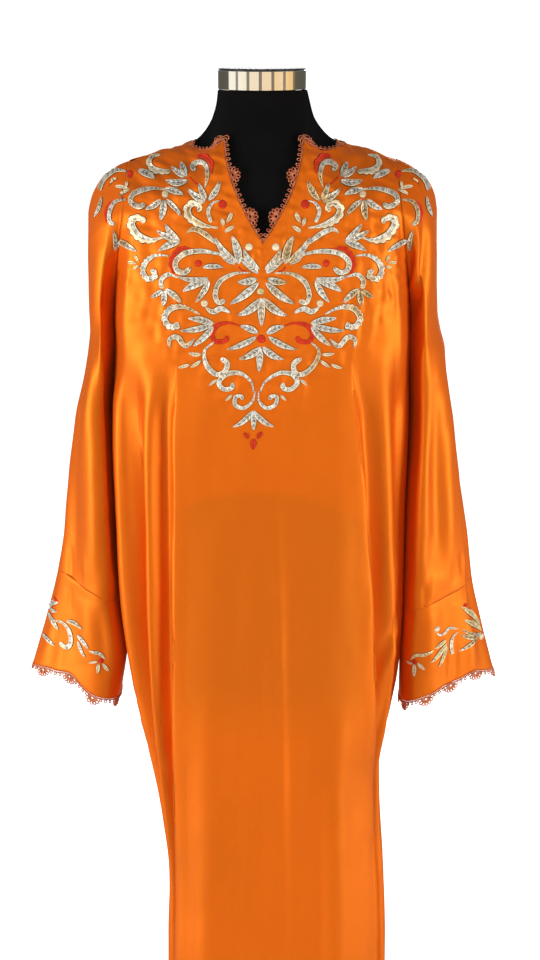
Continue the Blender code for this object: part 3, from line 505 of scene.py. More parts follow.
def cap_row(side, z, columns):
    """The upper sleeve at a height: from the front of the armhole seam, round the outside, to its back."""
    start, width = float(armhole_x(z, side)) + SEAM_GAP / 2, float(yoke[side](z))
    reach = SIDES[side] * (start + (width - start) * np.sin(np.linspace(0, math.pi / 2, CAP_SAMPLES)))
    back = yoke_points(reach[::-1][1:], z, "back")
    return spaced(np.vstack([yoke_points(reach, z, "front"), back]), columns)


def sleeve_ring(side, z, columns, close):
    """A whole ring of the sleeve below the underarm, beginning where the cap's row does."""
    at = {name: float(f(z)) for name, f in sleeve[side].items()}
    middle, half = (at["inner"] + at["outer"]) / 2, (at["outer"] - at["inner"]) / 2
    turns = np.linspace(0, 2 * math.pi, 4 * SAMPLES, endpoint=False)
    c, s = np.cos(turns), np.sin(turns)
    across = -np.sign(c) * np.abs(c) ** (2 / SLEEVE_POWER)
    along = -np.sign(s) * np.abs(s) ** (2 / SLEEVE_POWER)
    x = middle + half * across
    y = np.where(along < 0, at["front"], at["back"]) * along
    start = int(np.argmin(np.hypot(across + 1, along + SLEEVE_START_TURN)))
    x, y = np.roll(x, -start), np.roll(y, -start)
    x, y = np.append(x, x[0]), np.append(y, y[0])
    length = np.concatenate([[0], np.cumsum(np.hypot(np.diff(x), np.diff(y)))])
    open_end = SLEEVE_OPEN_SHARE * length[-1]
    places = np.concatenate([np.linspace(0, open_end, columns + 1),
                             np.linspace(open_end, length[-1], close + 1)[1:-1]])
    folds = SLEEVE_FOLDS_LEFT if side == "left" else SLEEVE_FOLDS_RIGHT
    levels = [UNDERARM_Z, *SLEEVE_FOLD_HEIGHTS.values()]
    stands = [float(track(levels, [0.0, *fold[2:]])(z)) for fold in folds]
    out = track([fold.share * length[-1] for fold in folds], stands)(places)
    dx, dy = np.gradient(x, length), np.gradient(y, length)
    nx, ny = np.interp(places, length, -dy), np.interp(places, length, dx)
    scale = -np.hypot(nx, ny)
    px = np.interp(places, length, x) + out * nx / scale
    py = np.interp(places, length, y) + out * ny / scale
    lean = SLEEVE_LEAN * float(ease((LEAN_TOP_Z - z) / LEAN_FALL))
    py = py + lean * (px - middle) * np.clip(-py / at["front"], 0, 1)
    height = z + at["rise"] * (px - middle) / (2 * half)
    return np.stack([SIDES[side] * px, py, height], axis=-1)


def sleeve_grid(side, columns, close, rows_low, rows_cap):
    """Rows of the sleeve from the cuff seam to the shoulder, each from left to right as seen outside."""
    rows = []
    for z in np.linspace(CUFF_SEAM_Z[side] + SEAM_GAP / 2, UNDERARM_Z, rows_low):
        row = sleeve_ring(side, z, columns, close)
        share = float(ease((z - UNDERARM_Z + SLEEVE_BLEND) / SLEEVE_BLEND))
        if share > 0:
            cap = cap_row(side, z, columns)
            t = (np.arange(close - 1) + 1)[:, None] / close
            row = row * (1 - share) + np.vstack([cap, cap[-1] + (cap[0] - cap[-1]) * t]) * share
        rows.append(row)
    top_z = float(ridge_height(SIDES[side] * SHOULDER_POINT_X))
    missing = np.full((close - 1, 3), np.nan)
    for t in 1 - np.linspace(1, 0, rows_cap)[1:-1] ** CAP_ROWS_CLOSER:
        rows.append(np.vstack([cap_row(side, UNDERARM_Z + (top_z - UNDERARM_Z) * t, columns), missing]))
    tip = np.array([SIDES[side] * (SHOULDER_POINT_X + SEAM_GAP / 2), 0.0, top_z])
    rows.append(np.vstack([np.tile(tip, (columns + 1, 1)), missing]))
    grid = np.array(rows)
    return grid[:, ::-1] if side == "left" else grid


# The sleeve's inner side is drawn up to the body: how far this reaches, how softly, how deep behind the
# front layer, and how much the ring closes
Tuck = namedtuple("Tuck", "reach soft depth close")
TUCK = {"left": Tuck(0.0075, 0.0030, 0.009, 0.0030), "right": Tuck(0.0120, 0.0080, 0.010, 0.0042)}
TUCK_TOP_Z, TUCK_FALL = 1.205, 0.070
TUCK_FOOT, TUCK_FOOT_RISE = 0.018, 0.035  # it ends this far below the cuff seam's own level
TUCK_FRONT = -0.001  # what is drawn back stays in front of this


def tucked(grid, side):
    """The sleeve with its inner side drawn up to the body, behind the edge of its front layer."""
    x, y, z = grid[..., 0], grid[..., 1], grid[..., 2]
    tuck = TUCK[side]
    inner, outer = sleeve[side]["inner"](z), sleeve[side]["outer"](z)
    height = ease((TUCK_TOP_Z - z) / TUCK_FALL) * ease((z - CUFF_SEAM_Z[side] + TUCK_FOOT) / TUCK_FOOT_RISE)
    behind = np.where(y < 0, tuck.depth * ease((inner + tuck.reach - np.abs(x)) / tuck.soft) * height, 0)
    share = np.clip(((inner + outer) / 2 - np.abs(x)) / ((outer - inner) / 2), 0, 1)
    moved = np.where(y < 0, np.minimum(y + behind, TUCK_FRONT), y)
    return np.stack([x - SIDES[side] * tuck.close * share * height, moved, z], axis=-1)


def cuff_grid(side, columns, close, count):
    heights = np.linspace(CUFF_HEM_Z[side], CUFF_SEAM_Z[side] - SEAM_GAP / 2, count)
    grid = hem_waved(np.array([sleeve_ring(side, z, columns, close) for z in heights]), side)
    return grid[:, ::-1] if side == "left" else grid


# The cuffs' hems rise and fall with the cloth's folds, in front and this far up
WAVE = "x width height"
HEM_WAVES = {
    "left": table(WAVE, (-0.252, 0.018, 0.0155), (-0.282, 0.016, 0.008)),
    "right": table(WAVE, (0.230, 0.045, 0.0165), (0.278, 0.015, 0.010), (0.224, 0.018, -0.0045)),
}
WAVE_REACH = 0.080
WAVE_BACK, WAVE_FADE = 0.012, 0.030  # where the waves have ended behind, and over what depth


def hem_waved(points, side):
    x, y, z = points[..., 0], points[..., 1], points[..., 2]
    lift = sum(wave.height * np.exp(-(((x - wave.x) / wave.width) ** 2)) for wave in HEM_WAVES[side])
    lift = lift * ease(1 - (z - CUFF_HEM_Z[side]) / WAVE_REACH) * ease((WAVE_BACK - y) / WAVE_FADE)
    return np.stack([x, y, z + lift], axis=-1)


# Soft creases laid on the cloth: each runs from one place to another as seen from the front or from
# behind, bows to one side, and stands out or lies in by its height.
Crease = namedtuple("Crease", "x z to_x to_z bow width height")
CREASE_ENDS = 0.6  # how bluntly a crease fades to its ends


def creases(*rows):
    """Creases whose rows are in millimetres."""
    return tuple(Crease(*(value / 1000 for value in row)) for row in rows)


def crease_field(x, z, laid):
    total = np.zeros_like(x)
    for c in laid:
        run = np.array([c.to_x - c.x, c.to_z - c.z])
        length = np.hypot(*run)
        ux, uz = run / length
        t = ((x - c.x) * ux + (z - c.z) * uz) / length
        inside = np.clip(t, 0, 1)
        off = -(x - c.x) * uz + (z - c.z) * ux - c.bow * 4 * inside * (1 - inside)
        past = np.maximum(np.maximum(-t, t - 1), 0) * length
        fade = np.sin(math.pi * inside) ** CREASE_ENDS
        total += c.height * np.exp(-((off / c.width) ** 2) - (past / c.width) ** 2) * fade
    return total


def surface_normals(grid, ring):
    """Outward normals of a grid whose rows run upwards and whose columns run to the right."""
    wide = np.concatenate([grid[:, -1:], grid, grid[:, :1]], axis=1) if ring else grid
    across = np.gradient(wide, axis=1)
    if ring:
        across = across[:, 1:-1]
    up = np.gradient(grid, axis=0)
    normal = np.cross(across, up)
    size = np.linalg.norm(normal, axis=-1, keepdims=True)
    return np.nan_to_num(normal / np.where(size < 1e-12, 1, size))


def mesh_object(name, verts, faces, material, smooth=True):
    mesh = bpy.data.meshes.new(name)
    mesh.from_pydata([tuple(v) for v in verts], [], [tuple(f) for f in faces])
    mesh.validate()
    obj = bpy.data.objects.new(name, mesh)
    bpy.context.scene.collection.objects.link(obj)
    for one in material if isinstance(material, (list, tuple)) else [material]:
        mesh.materials.append(one)
    if smooth:
        mesh.shade_smooth()
    return obj


def grid_object(name, grid, material, ring=False, thickness=0.0):
    """A sheet through a grid of points; faces with a missing corner are left out."""
    rows, columns = grid.shape[:2]
    there = ~np.isnan(grid[..., 0])
    number = np.full((rows, columns), -1)
    number[there] = np.arange(there.sum())
    right = np.roll(number, -1, axis=1)
    last = columns if ring else columns - 1
    corners = np.stack([number[:-1, :last], right[:-1, :last], right[1:, :last], number[1:, :last]], -1)
    faces = corners.reshape(-1, 4)
    faces = faces[(faces >= 0).all(axis=1)]
    obj = mesh_object(name, grid[there], faces, material)
    weld = obj.modifiers.new("Weld", "WELD")
    weld.merge_threshold = 0.00001
    if thickness:
        wall = obj.modifiers.new("Wall", "SOLIDIFY")
        wall.thickness = thickness
        wall.offset = -1
    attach(obj, "root")
    return obj


# Finishes. Colours are linear.
SILK = (0.78, 0.118, 0.004)
# the silk's colour with painted shade, where the dark form shows through
SILK_PAINTED_FORM_SHADE = (0.67, 0.108, 0.004)
LACE = (0.62, 0.205, 0.095)
LACE_DEEP = (0.40, 0.080, 0.030)
# A thread's light and deep colours alternate along its stitches: painted highlights and painted shade, on
# the metal threads also painted dark reflections
SILVER = (0.88, 0.84, 0.75)
SILVER_PAINTED_SHADE = (0.13, 0.105, 0.07)
GILT = (0.80, 0.56, 0.27)  # what the silver is multiplied by where it has a gold cast
PALE_GOLD = (0.90, 0.72, 0.36)
GOLD_PAINTED_SHADE = (0.36, 0.25, 0.10)
CREAM = (0.88, 0.72, 0.46)
CREAM_PAINTED_SHADE = (0.56, 0.38, 0.19)
RED_THREAD = (0.70, 0.036, 0.006)
RED_PAINTED_SHADE = (0.46, 0.018, 0.004)
# the red thread's dark lines of painted shadow
RED_PAINTED_SHADOW = tuple(c * 0.5 for c in RED_PAINTED_SHADE)
# the other threads' dark lines: painted shadow round the work's edges and in its grooves
CORD_PAINTED_SHADOW = (0.11, 0.050, 0.012)
JERSEY, JERSEY_DEEP, JERSEY_LIT = (0.004, 0.004, 0.004), (0.003, 0.003, 0.003), (0.007, 0.006, 0.006)
SATIN_TINT, SATIN_SHEEN = (1.0, 0.62, 0.07, 1), (1.0, 0.36, 0.04, 1)
SATIN_ROUGH = (0.45, 0.53)
SATIN_CLOUD = 0.88  # how much deeper the silk is where it is dull
CHROME, CHROME_ROUGH = (0.83, 0.82, 0.79), (0.035, 0.085)
STAND_COAT = (0.022, 0.022, 0.024)


class Finish:
    """A Principled material with its nodes at hand."""

    def __init__(self, name, colour, roughness, metallic=0.0):
        self.material = bpy.data.materials.new(name)
        self.material.use_nodes = True
        self.nodes = self.material.node_tree.nodes
        self.links = self.material.node_tree.links
        self.shader = self.nodes["Principled BSDF"]
        self.shader.inputs["Base Color"].default_value = (*colour, 1)
        self.shader.inputs["Roughness"].default_value = roughness
        self.shader.inputs["Metallic"].default_value = metallic

    def node(self, kind, **values):
        made = self.nodes.new(kind)
        for key, value in values.items():
            if key in made.inputs:
                made.inputs[key].default_value = value
            else:
                setattr(made, key, value)
        return made

    def join(self, a, out, b, into):
        self.links.new(a.outputs[out], b.inputs[into])

    def place(self, scale=(1, 1, 1)):
        """The place on the object, stretched."""
        where = self.node("ShaderNodeTexCoord")
        mapping = self.node("ShaderNodeMapping", Scale=scale)
        self.join(where, "Object", mapping, "Vector")
        return mapping

    def noise(self, scale, stretch=(1, 1, 1), detail=2.0):
        made = self.node("ShaderNodeTexNoise", Scale=scale, Detail=detail)
        self.join(self.place(stretch), "Vector", made, "Vector")
        return made

    def between(self, value, out, low, high):
        """The value with its range mapped to 0..1, softly."""
        made = self.node("ShaderNodeMapRange", interpolation_type="SMOOTHSTEP")
        made.inputs["From Min"].default_value = low
        made.inputs["From Max"].default_value = high
        self.join(value, out, made, "Value")
        return made

    def mix(self, share, out, first, second):
        """A colour between two; each is a colour or a node's (node, output)."""
        made = self.node("ShaderNodeMix", data_type="RGBA")
        self.join(share, out, made, "Factor")
        for socket, colour in ((6, first), (7, second)):
            if len(colour) == 2:
                self.links.new(colour[0].outputs[colour[1]], made.inputs[socket])
            else:
                made.inputs[socket].default_value = (*colour, 1)
        return made

    def colour(self, node, out=2):
        self.links.new(node.outputs[out], self.shader.inputs["Base Color"])

    def bump(self, height, out, strength, distance):
        made = self.node("ShaderNodeBump", Strength=strength, Distance=distance)
        self.join(height, out, made, "Height")
        self.join(made, "Normal", self.shader, "Normal")
        return made


def satin_finish(name):
    """Shiny orange silk: a warm gloss, fine crosswise threads, and painted shade where the dark form is
    close behind and shows through."""
    made = Finish(name, SILK, 0.49, 0.34)
    cloud = made.noise(7.0, (1, 1, 0.5), 3.0)
    base = made.mix(made.between(cloud, "Fac", 0.35, 0.75), "Result",
                    SILK, tuple(c * SATIN_CLOUD for c in SILK))
    # painted shade where the dark form shows through the silk
    depth = made.node("ShaderNodeAttribute", attribute_name="painted_form_shade")
    over = made.mix(depth, "Fac", (base, 2), SILK_PAINTED_FORM_SHADE)
    made.colour(over)
    threads = made.noise(1.0, (260, 260, 3200), 2.0)
    slubs = made.noise(1.0, (30, 30, 900), 2.0)
    both = made.node("ShaderNodeMath", operation="ADD")
    made.join(threads, "Fac", both, 0)
    made.join(slubs, "Fac", both, 1)
    made.bump(both, "Value", 0.16, 0.00035)
    for key, value in (("Specular IOR Level", 1.0), ("IOR", 1.70), ("Specular Tint", SATIN_TINT),
                       ("Sheen Weight", 0.10), ("Sheen Roughness", 0.35), ("Sheen Tint", SATIN_SHEEN)):
        made.shader.inputs[key].default_value = value
    made.join(made.between(slubs, "Fac", 0.2, 0.8), "Result", gloss(made, *SATIN_ROUGH), 0)
    return made.material


def gloss(made, low, high):
    """A multiply-add that turns 0..1 into a roughness."""
    step = made.node("ShaderNodeMath", operation="MULTIPLY_ADD")
    step.inputs[1].default_value = high - low
    step.inputs[2].default_value = low
    made.join(step, "Value", made.shader, "Roughness")
    return step


def jersey_finish():
    made = Finish("jersey", JERSEY, 0.90)
    knit = made.noise(1.0, (1500, 1500, 2200), 1.0)
    made.colour(made.mix(made.between(knit, "Fac", 0.35, 0.7), "Result", JERSEY_DEEP, JERSEY_LIT))
    made.bump(knit, "Fac", 0.35, 0.0003)
    made.shader.inputs["Specular IOR Level"].default_value = 0.05
    return made.material


def chrome_finish(name, colour, low, high):
    made = Finish(name, colour, low, 1.0)
    wear = made.noise(18.0, (1, 1, 0.3), 3.0)
    made.join(made.between(wear, "Fac", 0.3, 0.8), "Result", gloss(made, low, high), 0)
    return made.material


def coat_finish(name, colour, roughness):
    made = Finish(name, colour, roughness, 0.3)
    grain = made.noise(900.0, detail=2.0)
    made.bump(grain, "Fac", 0.12, 0.0003)
    return made.material


# The body: panels, sleeves and cuffs
silk = satin_finish("silk")
FRONT_CREASES = creases(
    # the sides' long folds
    (-144, 1262, -156, 940, 3, 12, 3),
    (-169, 1250, -170, 880, 0, 7, -3),
    (-171, 760, -124, 742, 3, 4.5, -2.8),
    (-160, 722, -122, 702, -3, 5, 2.4),
    (-155, 690, -124, 662, 2, 4.2, -2),
    (148, 1250, 161, 860, 0, 11, 3),
    (165, 1255, 170, 930, 0, 6, -3),
    (177, 882, 152, 832, 3, 5.5, -4.5),
    (176, 850, 150, 790, 2, 6, 3.2),
    (165, 800, 148, 700, 2, 7, -3),
    (160, 740, 150, 560, 0, 8, 2.6),
    # the middle and the soft waves of the skirt
    (17, 1050, 30, 420, 2, 6.5, -2.2),
    (34, 980, 44, 300, -2, 11, 1.6),
    (-30, 900, -44, 200, 3, 12, -1.8),
    (-66, 860, -76, 140, -3, 13, 2.2),
    (71, 700, 74, 90, 2, 10, -3),
    (100, 780, 102, 90, -2, 11.5, 3.4),
    (147, 600, 152, 90, 1, 8, -2.6),
    (-97, 700, -104, 100, 2, 9, -2.2),
    # small drawn-in wrinkles beside the neckline's stitching
    (-20, 1372, -44, 1352, 1, 3, 0.9),
    (-28, 1392, -56, 1378, -1, 3.2, 1),
    (-36, 1412, -66, 1402, 1, 3.4, -1),
    (-42, 1434, -74, 1428, 1, 3.2, 1),
    (-50, 1452, -70, 1436, 0, 3, -0.9),
    (-8, 1352, -24, 1322, 1, 3.2, 0.9),
    (4, 1346, 6, 1306, -1, 3.2, -0.8),
    (14, 1352, 36, 1326, 1, 3.2, 0.9),
    (27, 1372, 52, 1356, -1, 3.2, -0.9),
    (34, 1392, 62, 1382, 1, 3.2, 1),
    (42, 1414, 72, 1406, -1, 3.4, -1),
    (49, 1438, 80, 1430, 1, 3.2, 0.9),
    # the shoulders' soft drag towards the neck, and the crooks in front of the arms
    (-100, 1440, -160, 1370, 5, 12, -2),
    (108, 1440, 168, 1370, -5, 12, -2.2),
    (-128, 1300, -176, 1260, 4, 11, 0.9),
    (-122, 1262, -178, 1212, 5, 12, -1.2),
    (126, 1306, 174, 1262, -4, 11, 0.9),
    (122, 1262, 176, 1206, -5, 12, -1.2),
)
BACK_CREASES = creases(
    (-150, 1420, -50, 1380, 6, 11, -2.2),
    (146, 1416, 46, 1384, -6, 11, -2),
    (-60, 1430, -20, 1300, 4, 10, 1.6),
    (64, 1428, 28, 1290, -4, 10, 1.8),
    (-172, 1250, -80, 1180, -8, 11, -3.4),
    (172, 1246, 84, 1170, 8, 11, -3.2),
    (-160, 1200, -110, 1060, -4, 10, 3),
    (158, 1190, 104, 1050, 4, 10, 2.8),
    (-20, 1200, -30, 620, 6, 12, -2.6),
    (34, 1120, 40, 500, -5, 11, 2.6),
    (90, 980, 100, 300, 4, 10, -3),
    (-86, 1000, -100, 260, -4, 10, 3),
    (-140, 900, -120, 500, 4, 8, -2.8),
    (150, 880, 146, 420, -3, 8, 2.8),
    (6, 560, 12, 90, 3, 11, 3),
    (-52, 620, -60, 90, -3, 10, -2.8),
)
SLEEVE_CREASES = {
    "left": creases(
        (-211, 1200, -216, 915, 1, 13, 4),
        (-198, 1200, -196.5, 915, 1, 5, 2.5),
        (-240, 1060, -246, 900, 3, 9, -2.4),
        (-182, 1340, -205, 1240, 4, 9, -3),
        (-198, 1350, -212, 1230, 2, 8, 2.2),
        (-188, 1280, -212, 1200, -4, 8.5, -2.6),
        (-249, 960, -248.5, 905, 1, 3.4, -1.6),
        (-228, 950, -226, 896, 1, 3.4, 1.2),
    ),
    "right": creases(
        (183.5, 1360, 180, 1290, -2, 5, -3),
        (196, 1384, 181, 1246, 6, 5.2, -4.8),
        (189, 1372, 177, 1270, 4, 5, 3.6),
        (204, 1370, 196, 1240, 4, 7.5, 2.8),
        (201, 1230, 201, 930, 2, 8, 4.6),
        (219, 1180, 225, 920, -3, 8.5, -4),
        (234, 1120, 242, 930, -2, 8.5, 3.2),
        (210, 980, 216, 900, 2, 7, -2),
        (205, 916, 207.6, 880, 1, 3.4, -1.8),
        (218, 930, 220, 890, -1, 3.6, 1.4),
        (242, 945, 248, 908, 1, 3.6, -1.8),
        (256, 950, 261, 914, -1, 3.6, -1.8),
    ),
}
CUFF_CREASES = {
    "left": creases(
        (-249, 905, -250, 868, 1, 3.4, -1.4),
        (-230, 890, -233, 800, 4, 10, 2.6),
        (-210, 880, -206, 780, 2, 8, -3),
        (-262, 850, -272, 780, 2, 8, -2.2),
    ),
    "right": creases(
        (247, 915, 250, 878, 1, 3.4, -1.6),
        (259, 912, 262, 880, 1, 3.4, -1.4),
        (221, 885, 215, 790, 2, 10, 2.4),
        (236, 830, 236, 762, 1, 3, -1.2),
        (243, 835, 244, 765, 0, 3, 1.2),
        (251, 832, 252, 770, 0, 3, -1.2),
        (270, 850, 276, 780, 1, 6, 2.4),
        (202, 870, 199, 780, 1, 8, -2.6),
    ),
}
SLEEVE_BACK_CREASES = {
    "left": creases(
        (-195, 1340, -212, 1200, 4, 9, -2.8),
        (-206, 1180, -202, 930, -4, 7.5, 3),
        (-228, 1100, -240, 900, 3, 8.5, -3),
        (-216, 990, -236, 910, -4, 8, 2.4),
    ),
    "right": creases(
        (192, 1330, 214, 1190, -4, 9, -2.8),
        (208, 1150, 204, 920, 4, 7.5, 3),
        (236, 1080, 246, 910, -3, 8.5, -2.8),
        (214, 970, 240, 905, 4, 8, 2.6),
    ),
}


FACING_LEAST, FACING_FADE = 0.05, 0.5  # a crease is on cloth that faces its own way by this much


def creased(grid, ring, front, back):
    """The grid with its creases pushed out or in, each on the side of the cloth that it belongs to."""
    normal = surface_normals(grid, ring)
    x, y, z = grid[..., 0], grid[..., 1], grid[..., 2]
    facing = normal[..., 1]
    shift = crease_field(x, z, front) * ease((-facing - FACING_LEAST) / FACING_FADE)
    shift = shift + crease_field(x, z, back) * ease((facing - FACING_LEAST) / FACING_FADE)
    return grid + normal * np.nan_to_num(shift)[..., None]


# Unevenness of the cloth along its normals: many low waves of differing length and way. The more upright
# they are, the less they change with height.
Ripple = namedtuple("Ripple", "shortest longest height upright")
RIPPLES = 26
LONG_RIPPLES = Ripple(0.045, 0.110, 0.0007, 3.0)
SHORT_RIPPLES = Ripple(0.020, 0.045, 0.00016, 2.0)
PUCKERS = Ripple(0.010, 0.026, 0.00085, 1.0)
RIPPLE_SLANT = 0.6  # how much a ripple's place depends on the depth
PUCKER_FOOT_Z, PUCKER_MIDDLE_X, PUCKER_SLOPE, PUCKER_FADE = 1.085, -0.003, 1.02, 0.050
CALM_ROWS = 7.0  # a sleeve's or cuff's first rows stay even, for its seam or hem


def ripples(grid, kind, seed):
    rng = np.random.default_rng(seed)
    across, z = grid[..., 0] + RIPPLE_SLANT * grid[..., 1], grid[..., 2]
    total = np.zeros_like(z)
    for _ in range(RIPPLES):
        length = rng.uniform(kind.shortest, kind.longest)
        turn, phase = rng.uniform(0, math.pi), rng.uniform(0, 2 * math.pi)
        way = across * math.cos(turn) + z * math.sin(turn) / kind.upright
        total += np.sin(2 * math.pi * way / length + phase)
    return total * kind.height / math.sqrt(RIPPLES)


def rippled(grid, ring, seed, embroidered=False):
    """The grid with soft long ripples, and small puckers where the embroidery draws the cloth in."""
    shift = ripples(grid, LONG_RIPPLES, seed) + ripples(grid, SHORT_RIPPLES, seed + 1)
    if embroidered:
        x, z = grid[..., 0], grid[..., 2]
        worked = ease((z - PUCKER_FOOT_Z - PUCKER_SLOPE * np.abs(x - PUCKER_MIDDLE_X)) / PUCKER_FADE)
        shift = shift + worked * ripples(grid, PUCKERS, seed + 2)
    if ring:
        shift = shift * ease(np.arange(len(grid)) / CALM_ROWS)[:, None]
    there = np.isfinite(grid[..., 0])
    return grid + surface_normals(grid, ring) * np.where(there, shift, 0)[..., None]


# Painted shade where the dark form stands close behind the front's single layer of silk and shows
# through: below the yoke's backing, whose lower edge is a shallow arch, and above the foot of the form
ARCH_Z, ARCH_X, ARCH_HALF, ARCH_DROP, ARCH_POWER, ARCH_SOFT = 1.054, -0.004, 0.100, 0.024, 2.2, 0.006
SHADE_FOOT_Z, SHADE_FOOT_SOFT = 0.700, 0.110
SHADE_X, SHADE_HALF, SHADE_SOFT = 0.012, 0.128, 0.030


def painted_form_shade(grid):
    x, y, z = grid[..., 0], grid[..., 1], grid[..., 2]
    arch = ARCH_Z - ARCH_DROP * (np.abs(x - ARCH_X) / ARCH_HALF) ** ARCH_POWER
    below = ease((arch - z) / ARCH_SOFT) * ease((z - SHADE_FOOT_Z) / SHADE_FOOT_SOFT)
    across = ease((SHADE_HALF - np.abs(x - SHADE_X)) / SHADE_SOFT)
    return np.nan_to_num(below * across * (y < 0))


def with_shade(obj, grid):
    """Keeps painted_form_shade on the mesh's points, which are the grid's that aren't missing, in their order."""
    values = painted_form_shade(grid)[~np.isnan(grid[..., 0])]
    layer = obj.data.attributes.new("painted_form_shade", "FLOAT", "POINT")
    layer.data.foreach_set("value", values.astype(np.float32))


SHELL = 0.0006
CUFF_ALLOWANCE_IN, CUFF_ALLOWANCE_UP = 0.0009, 0.0040  # the cuff's top edge, turned in under the sleeve
# How finely each piece is cut: columns and rows to each step of the part's own grid, or in all
FRONT_FINE, BACK_FINE = (6, 9), (6, 7)
SLEEVE_FINE, CUFF_FINE = (110, 20, 90, 80), (90, 16, 40)
FRONT_SEED, BACK_SEED, SLEEVE_SEED = 11, 21, 31
cloths, cloth_grids = [], []


def cloth(name, node, grid, ring=False):
    made = grid_object(name, grid, silk, ring, SHELL)
    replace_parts(made, node)
    cloths.append(made)
    cloth_grids.append(grid)
    return made


front_grid = creased(whole_panel("front", *FRONT_FINE), False, FRONT_CREASES, ())
front_grid = rippled(front_grid, False, FRONT_SEED, True)
front = cloth("front_silk", "front_panel", front_grid)
with_shade(front, front_grid)
back_grid = rippled(creased(whole_panel("back", *BACK_FINE), False, (), BACK_CREASES), False, BACK_SEED)
back = cloth("back_silk", "back_panel", back_grid)
for side in SIDES:
    grid = tucked(sleeve_grid(side, *SLEEVE_FINE), side)
    grid = creased(grid, True, SLEEVE_CREASES[side], SLEEVE_BACK_CREASES[side])
    cloth(f"{side}_sleeve_silk", f"{side}_sleeve", rippled(grid, True, SLEEVE_SEED), True)
    low = creased(cuff_grid(side, *CUFF_FINE), True, CUFF_CREASES[side], ())
    inwards = surface_normals(low, True)[-1:] * CUFF_ALLOWANCE_IN
    allowance = low[-1:] - inwards + np.array([0, 0, CUFF_ALLOWANCE_UP])
    cloth(f"{side}_cuff_silk", f"{side}_cuff", np.concatenate([low, allowance]), True)


# Embroidery of metal and silk thread: scrolls, leaves and dots in a mirrored yoke, and a spray on each
# cuff. Places are in millimetres, z from the floor, and x from the yoke's own middle or, on the cuffs,
# from the pole's.
Leaf = namedtuple("Leaf", "x z to_x to_z width bend thread", defaults=("silver",))
Curve = namedtuple("Curve", "form width points thread", defaults=("silver",))
Dot = namedtuple("Dot", "x z radius thread")


def each(kind, *rows):
    return tuple(kind(*row) for row in rows)


YOKE_LEAVES = each(
    Leaf,
    (-3, 1324, -22, 1348, 8.2, 0.1),
    (-5, 1319, -28, 1338, 9.3, -0.06),
    (-6, 1313, -30, 1309, 8.7, 0.05),
    (-4, 1309, -39, 1283, 9.3, 0.04),
    (-1, 1291, -30, 1270, 9.8, 0.1),
    (-5, 1248, -27, 1257, 8.2, -0.08),
    (-7, 1245, -42, 1229, 7.6, 0.05),
    (-1, 1233, -27, 1218, 8.7, 0.1),
    (-28, 1330, -37, 1363, 10.4, -0.08),
    (-30, 1332, -57, 1362, 8.2, 0.08),
    (-32, 1330, -51, 1348, 6.6, 0.08),
    (-64, 1314, -101, 1316, 7.1, 0.1),
    (-64, 1312, -95, 1297, 9.3, -0.05),
    (-63, 1311, -80, 1285, 7.6, 0.05),
    (-71, 1326, -46, 1326, 6.6, 0.06),
    (-98, 1356, -117, 1376, 8.2, 0.08),
    (-100, 1357, -127, 1368, 7.6, 0.05),
    (-98, 1355, -124, 1344, 8.2, -0.06),
    (-119, 1299, -134, 1289, 6.0, 0.05),
    (-117, 1299, -119, 1279, 7.6, 0.04),
    (-116, 1300, -96, 1284, 7.6, 0.04),
    (-58, 1260, -89, 1266, 8.2, -0.04),
    (-59, 1259, -99, 1251, 7.6, 0.05),
    (-58, 1257, -83, 1233, 7.6, 0.05),
    (-85, 1211, -99, 1206, 4.6, 0.05, "cream"),
    (-72, 1216, -84, 1207, 4.6, 0.05, "cream"),
    (-72, 1223, -88, 1224, 4.6, 0.05, "cream"),
    (-50, 1193, -59, 1185, 3.6, 0.0, "cream"),
    (-29, 1174, -37, 1167, 3.3, 0.0, "cream"),
    (-38, 1390, -44, 1378, 5.2, 0.05, "cream"),
    (-50, 1383, -47, 1374, 4.6, 0.05, "cream"),
    (-45, 1367, -34, 1374, 5.2, 0.05, "cream"),
    (-69, 1403, -91, 1416, 8.2, 0.06),
    (-68, 1404, -77, 1423, 7.1, 0.05),
    (-66, 1403, -52, 1426, 7.6, -0.06),
    (-70, 1402, -83, 1403, 5.5, 0.0),
    (-92, 1430, -100, 1445, 8.2, 0.05),
    (-93, 1429, -112, 1439, 7.1, 0.06),
    (-91, 1425, -119, 1424, 7.6, 0.1),
    (-119, 1403, -123, 1379, 8.7, 0.04),
    (-117, 1403, -98, 1385, 6.6, 0.05),
    (-122, 1403, -142, 1391, 7.1, 0.06),
    (-119, 1414, -95, 1409, 7.1, 0.06),
    (-153, 1433, -131, 1425, 7.4, 0.05),
    (-132, 1431, -139, 1428, 3.8, 0.05),
    (-181, 1414, -162, 1412, 4.1, 0.05, "cream"),
    (-166, 1421, -167, 1413, 3.6, 0.05, "cream"),
    (-174, 1406, -162, 1411, 3.6, 0.05, "cream"),
    (-177, 1352, -150, 1342, 7.6, 0.06),
    (-179, 1339, -181, 1365, 5.5, -0.08),
    (-162, 1329, -150, 1328, 3.8, 0.05, "gold"),
    (-153, 1338, -148, 1330, 3.6, 0.05, "gold"),
    (-155, 1321, -147, 1326, 3.6, 0.05, "gold"),
    (-198, 1402, -207, 1377, 4.9, 0.08),
)
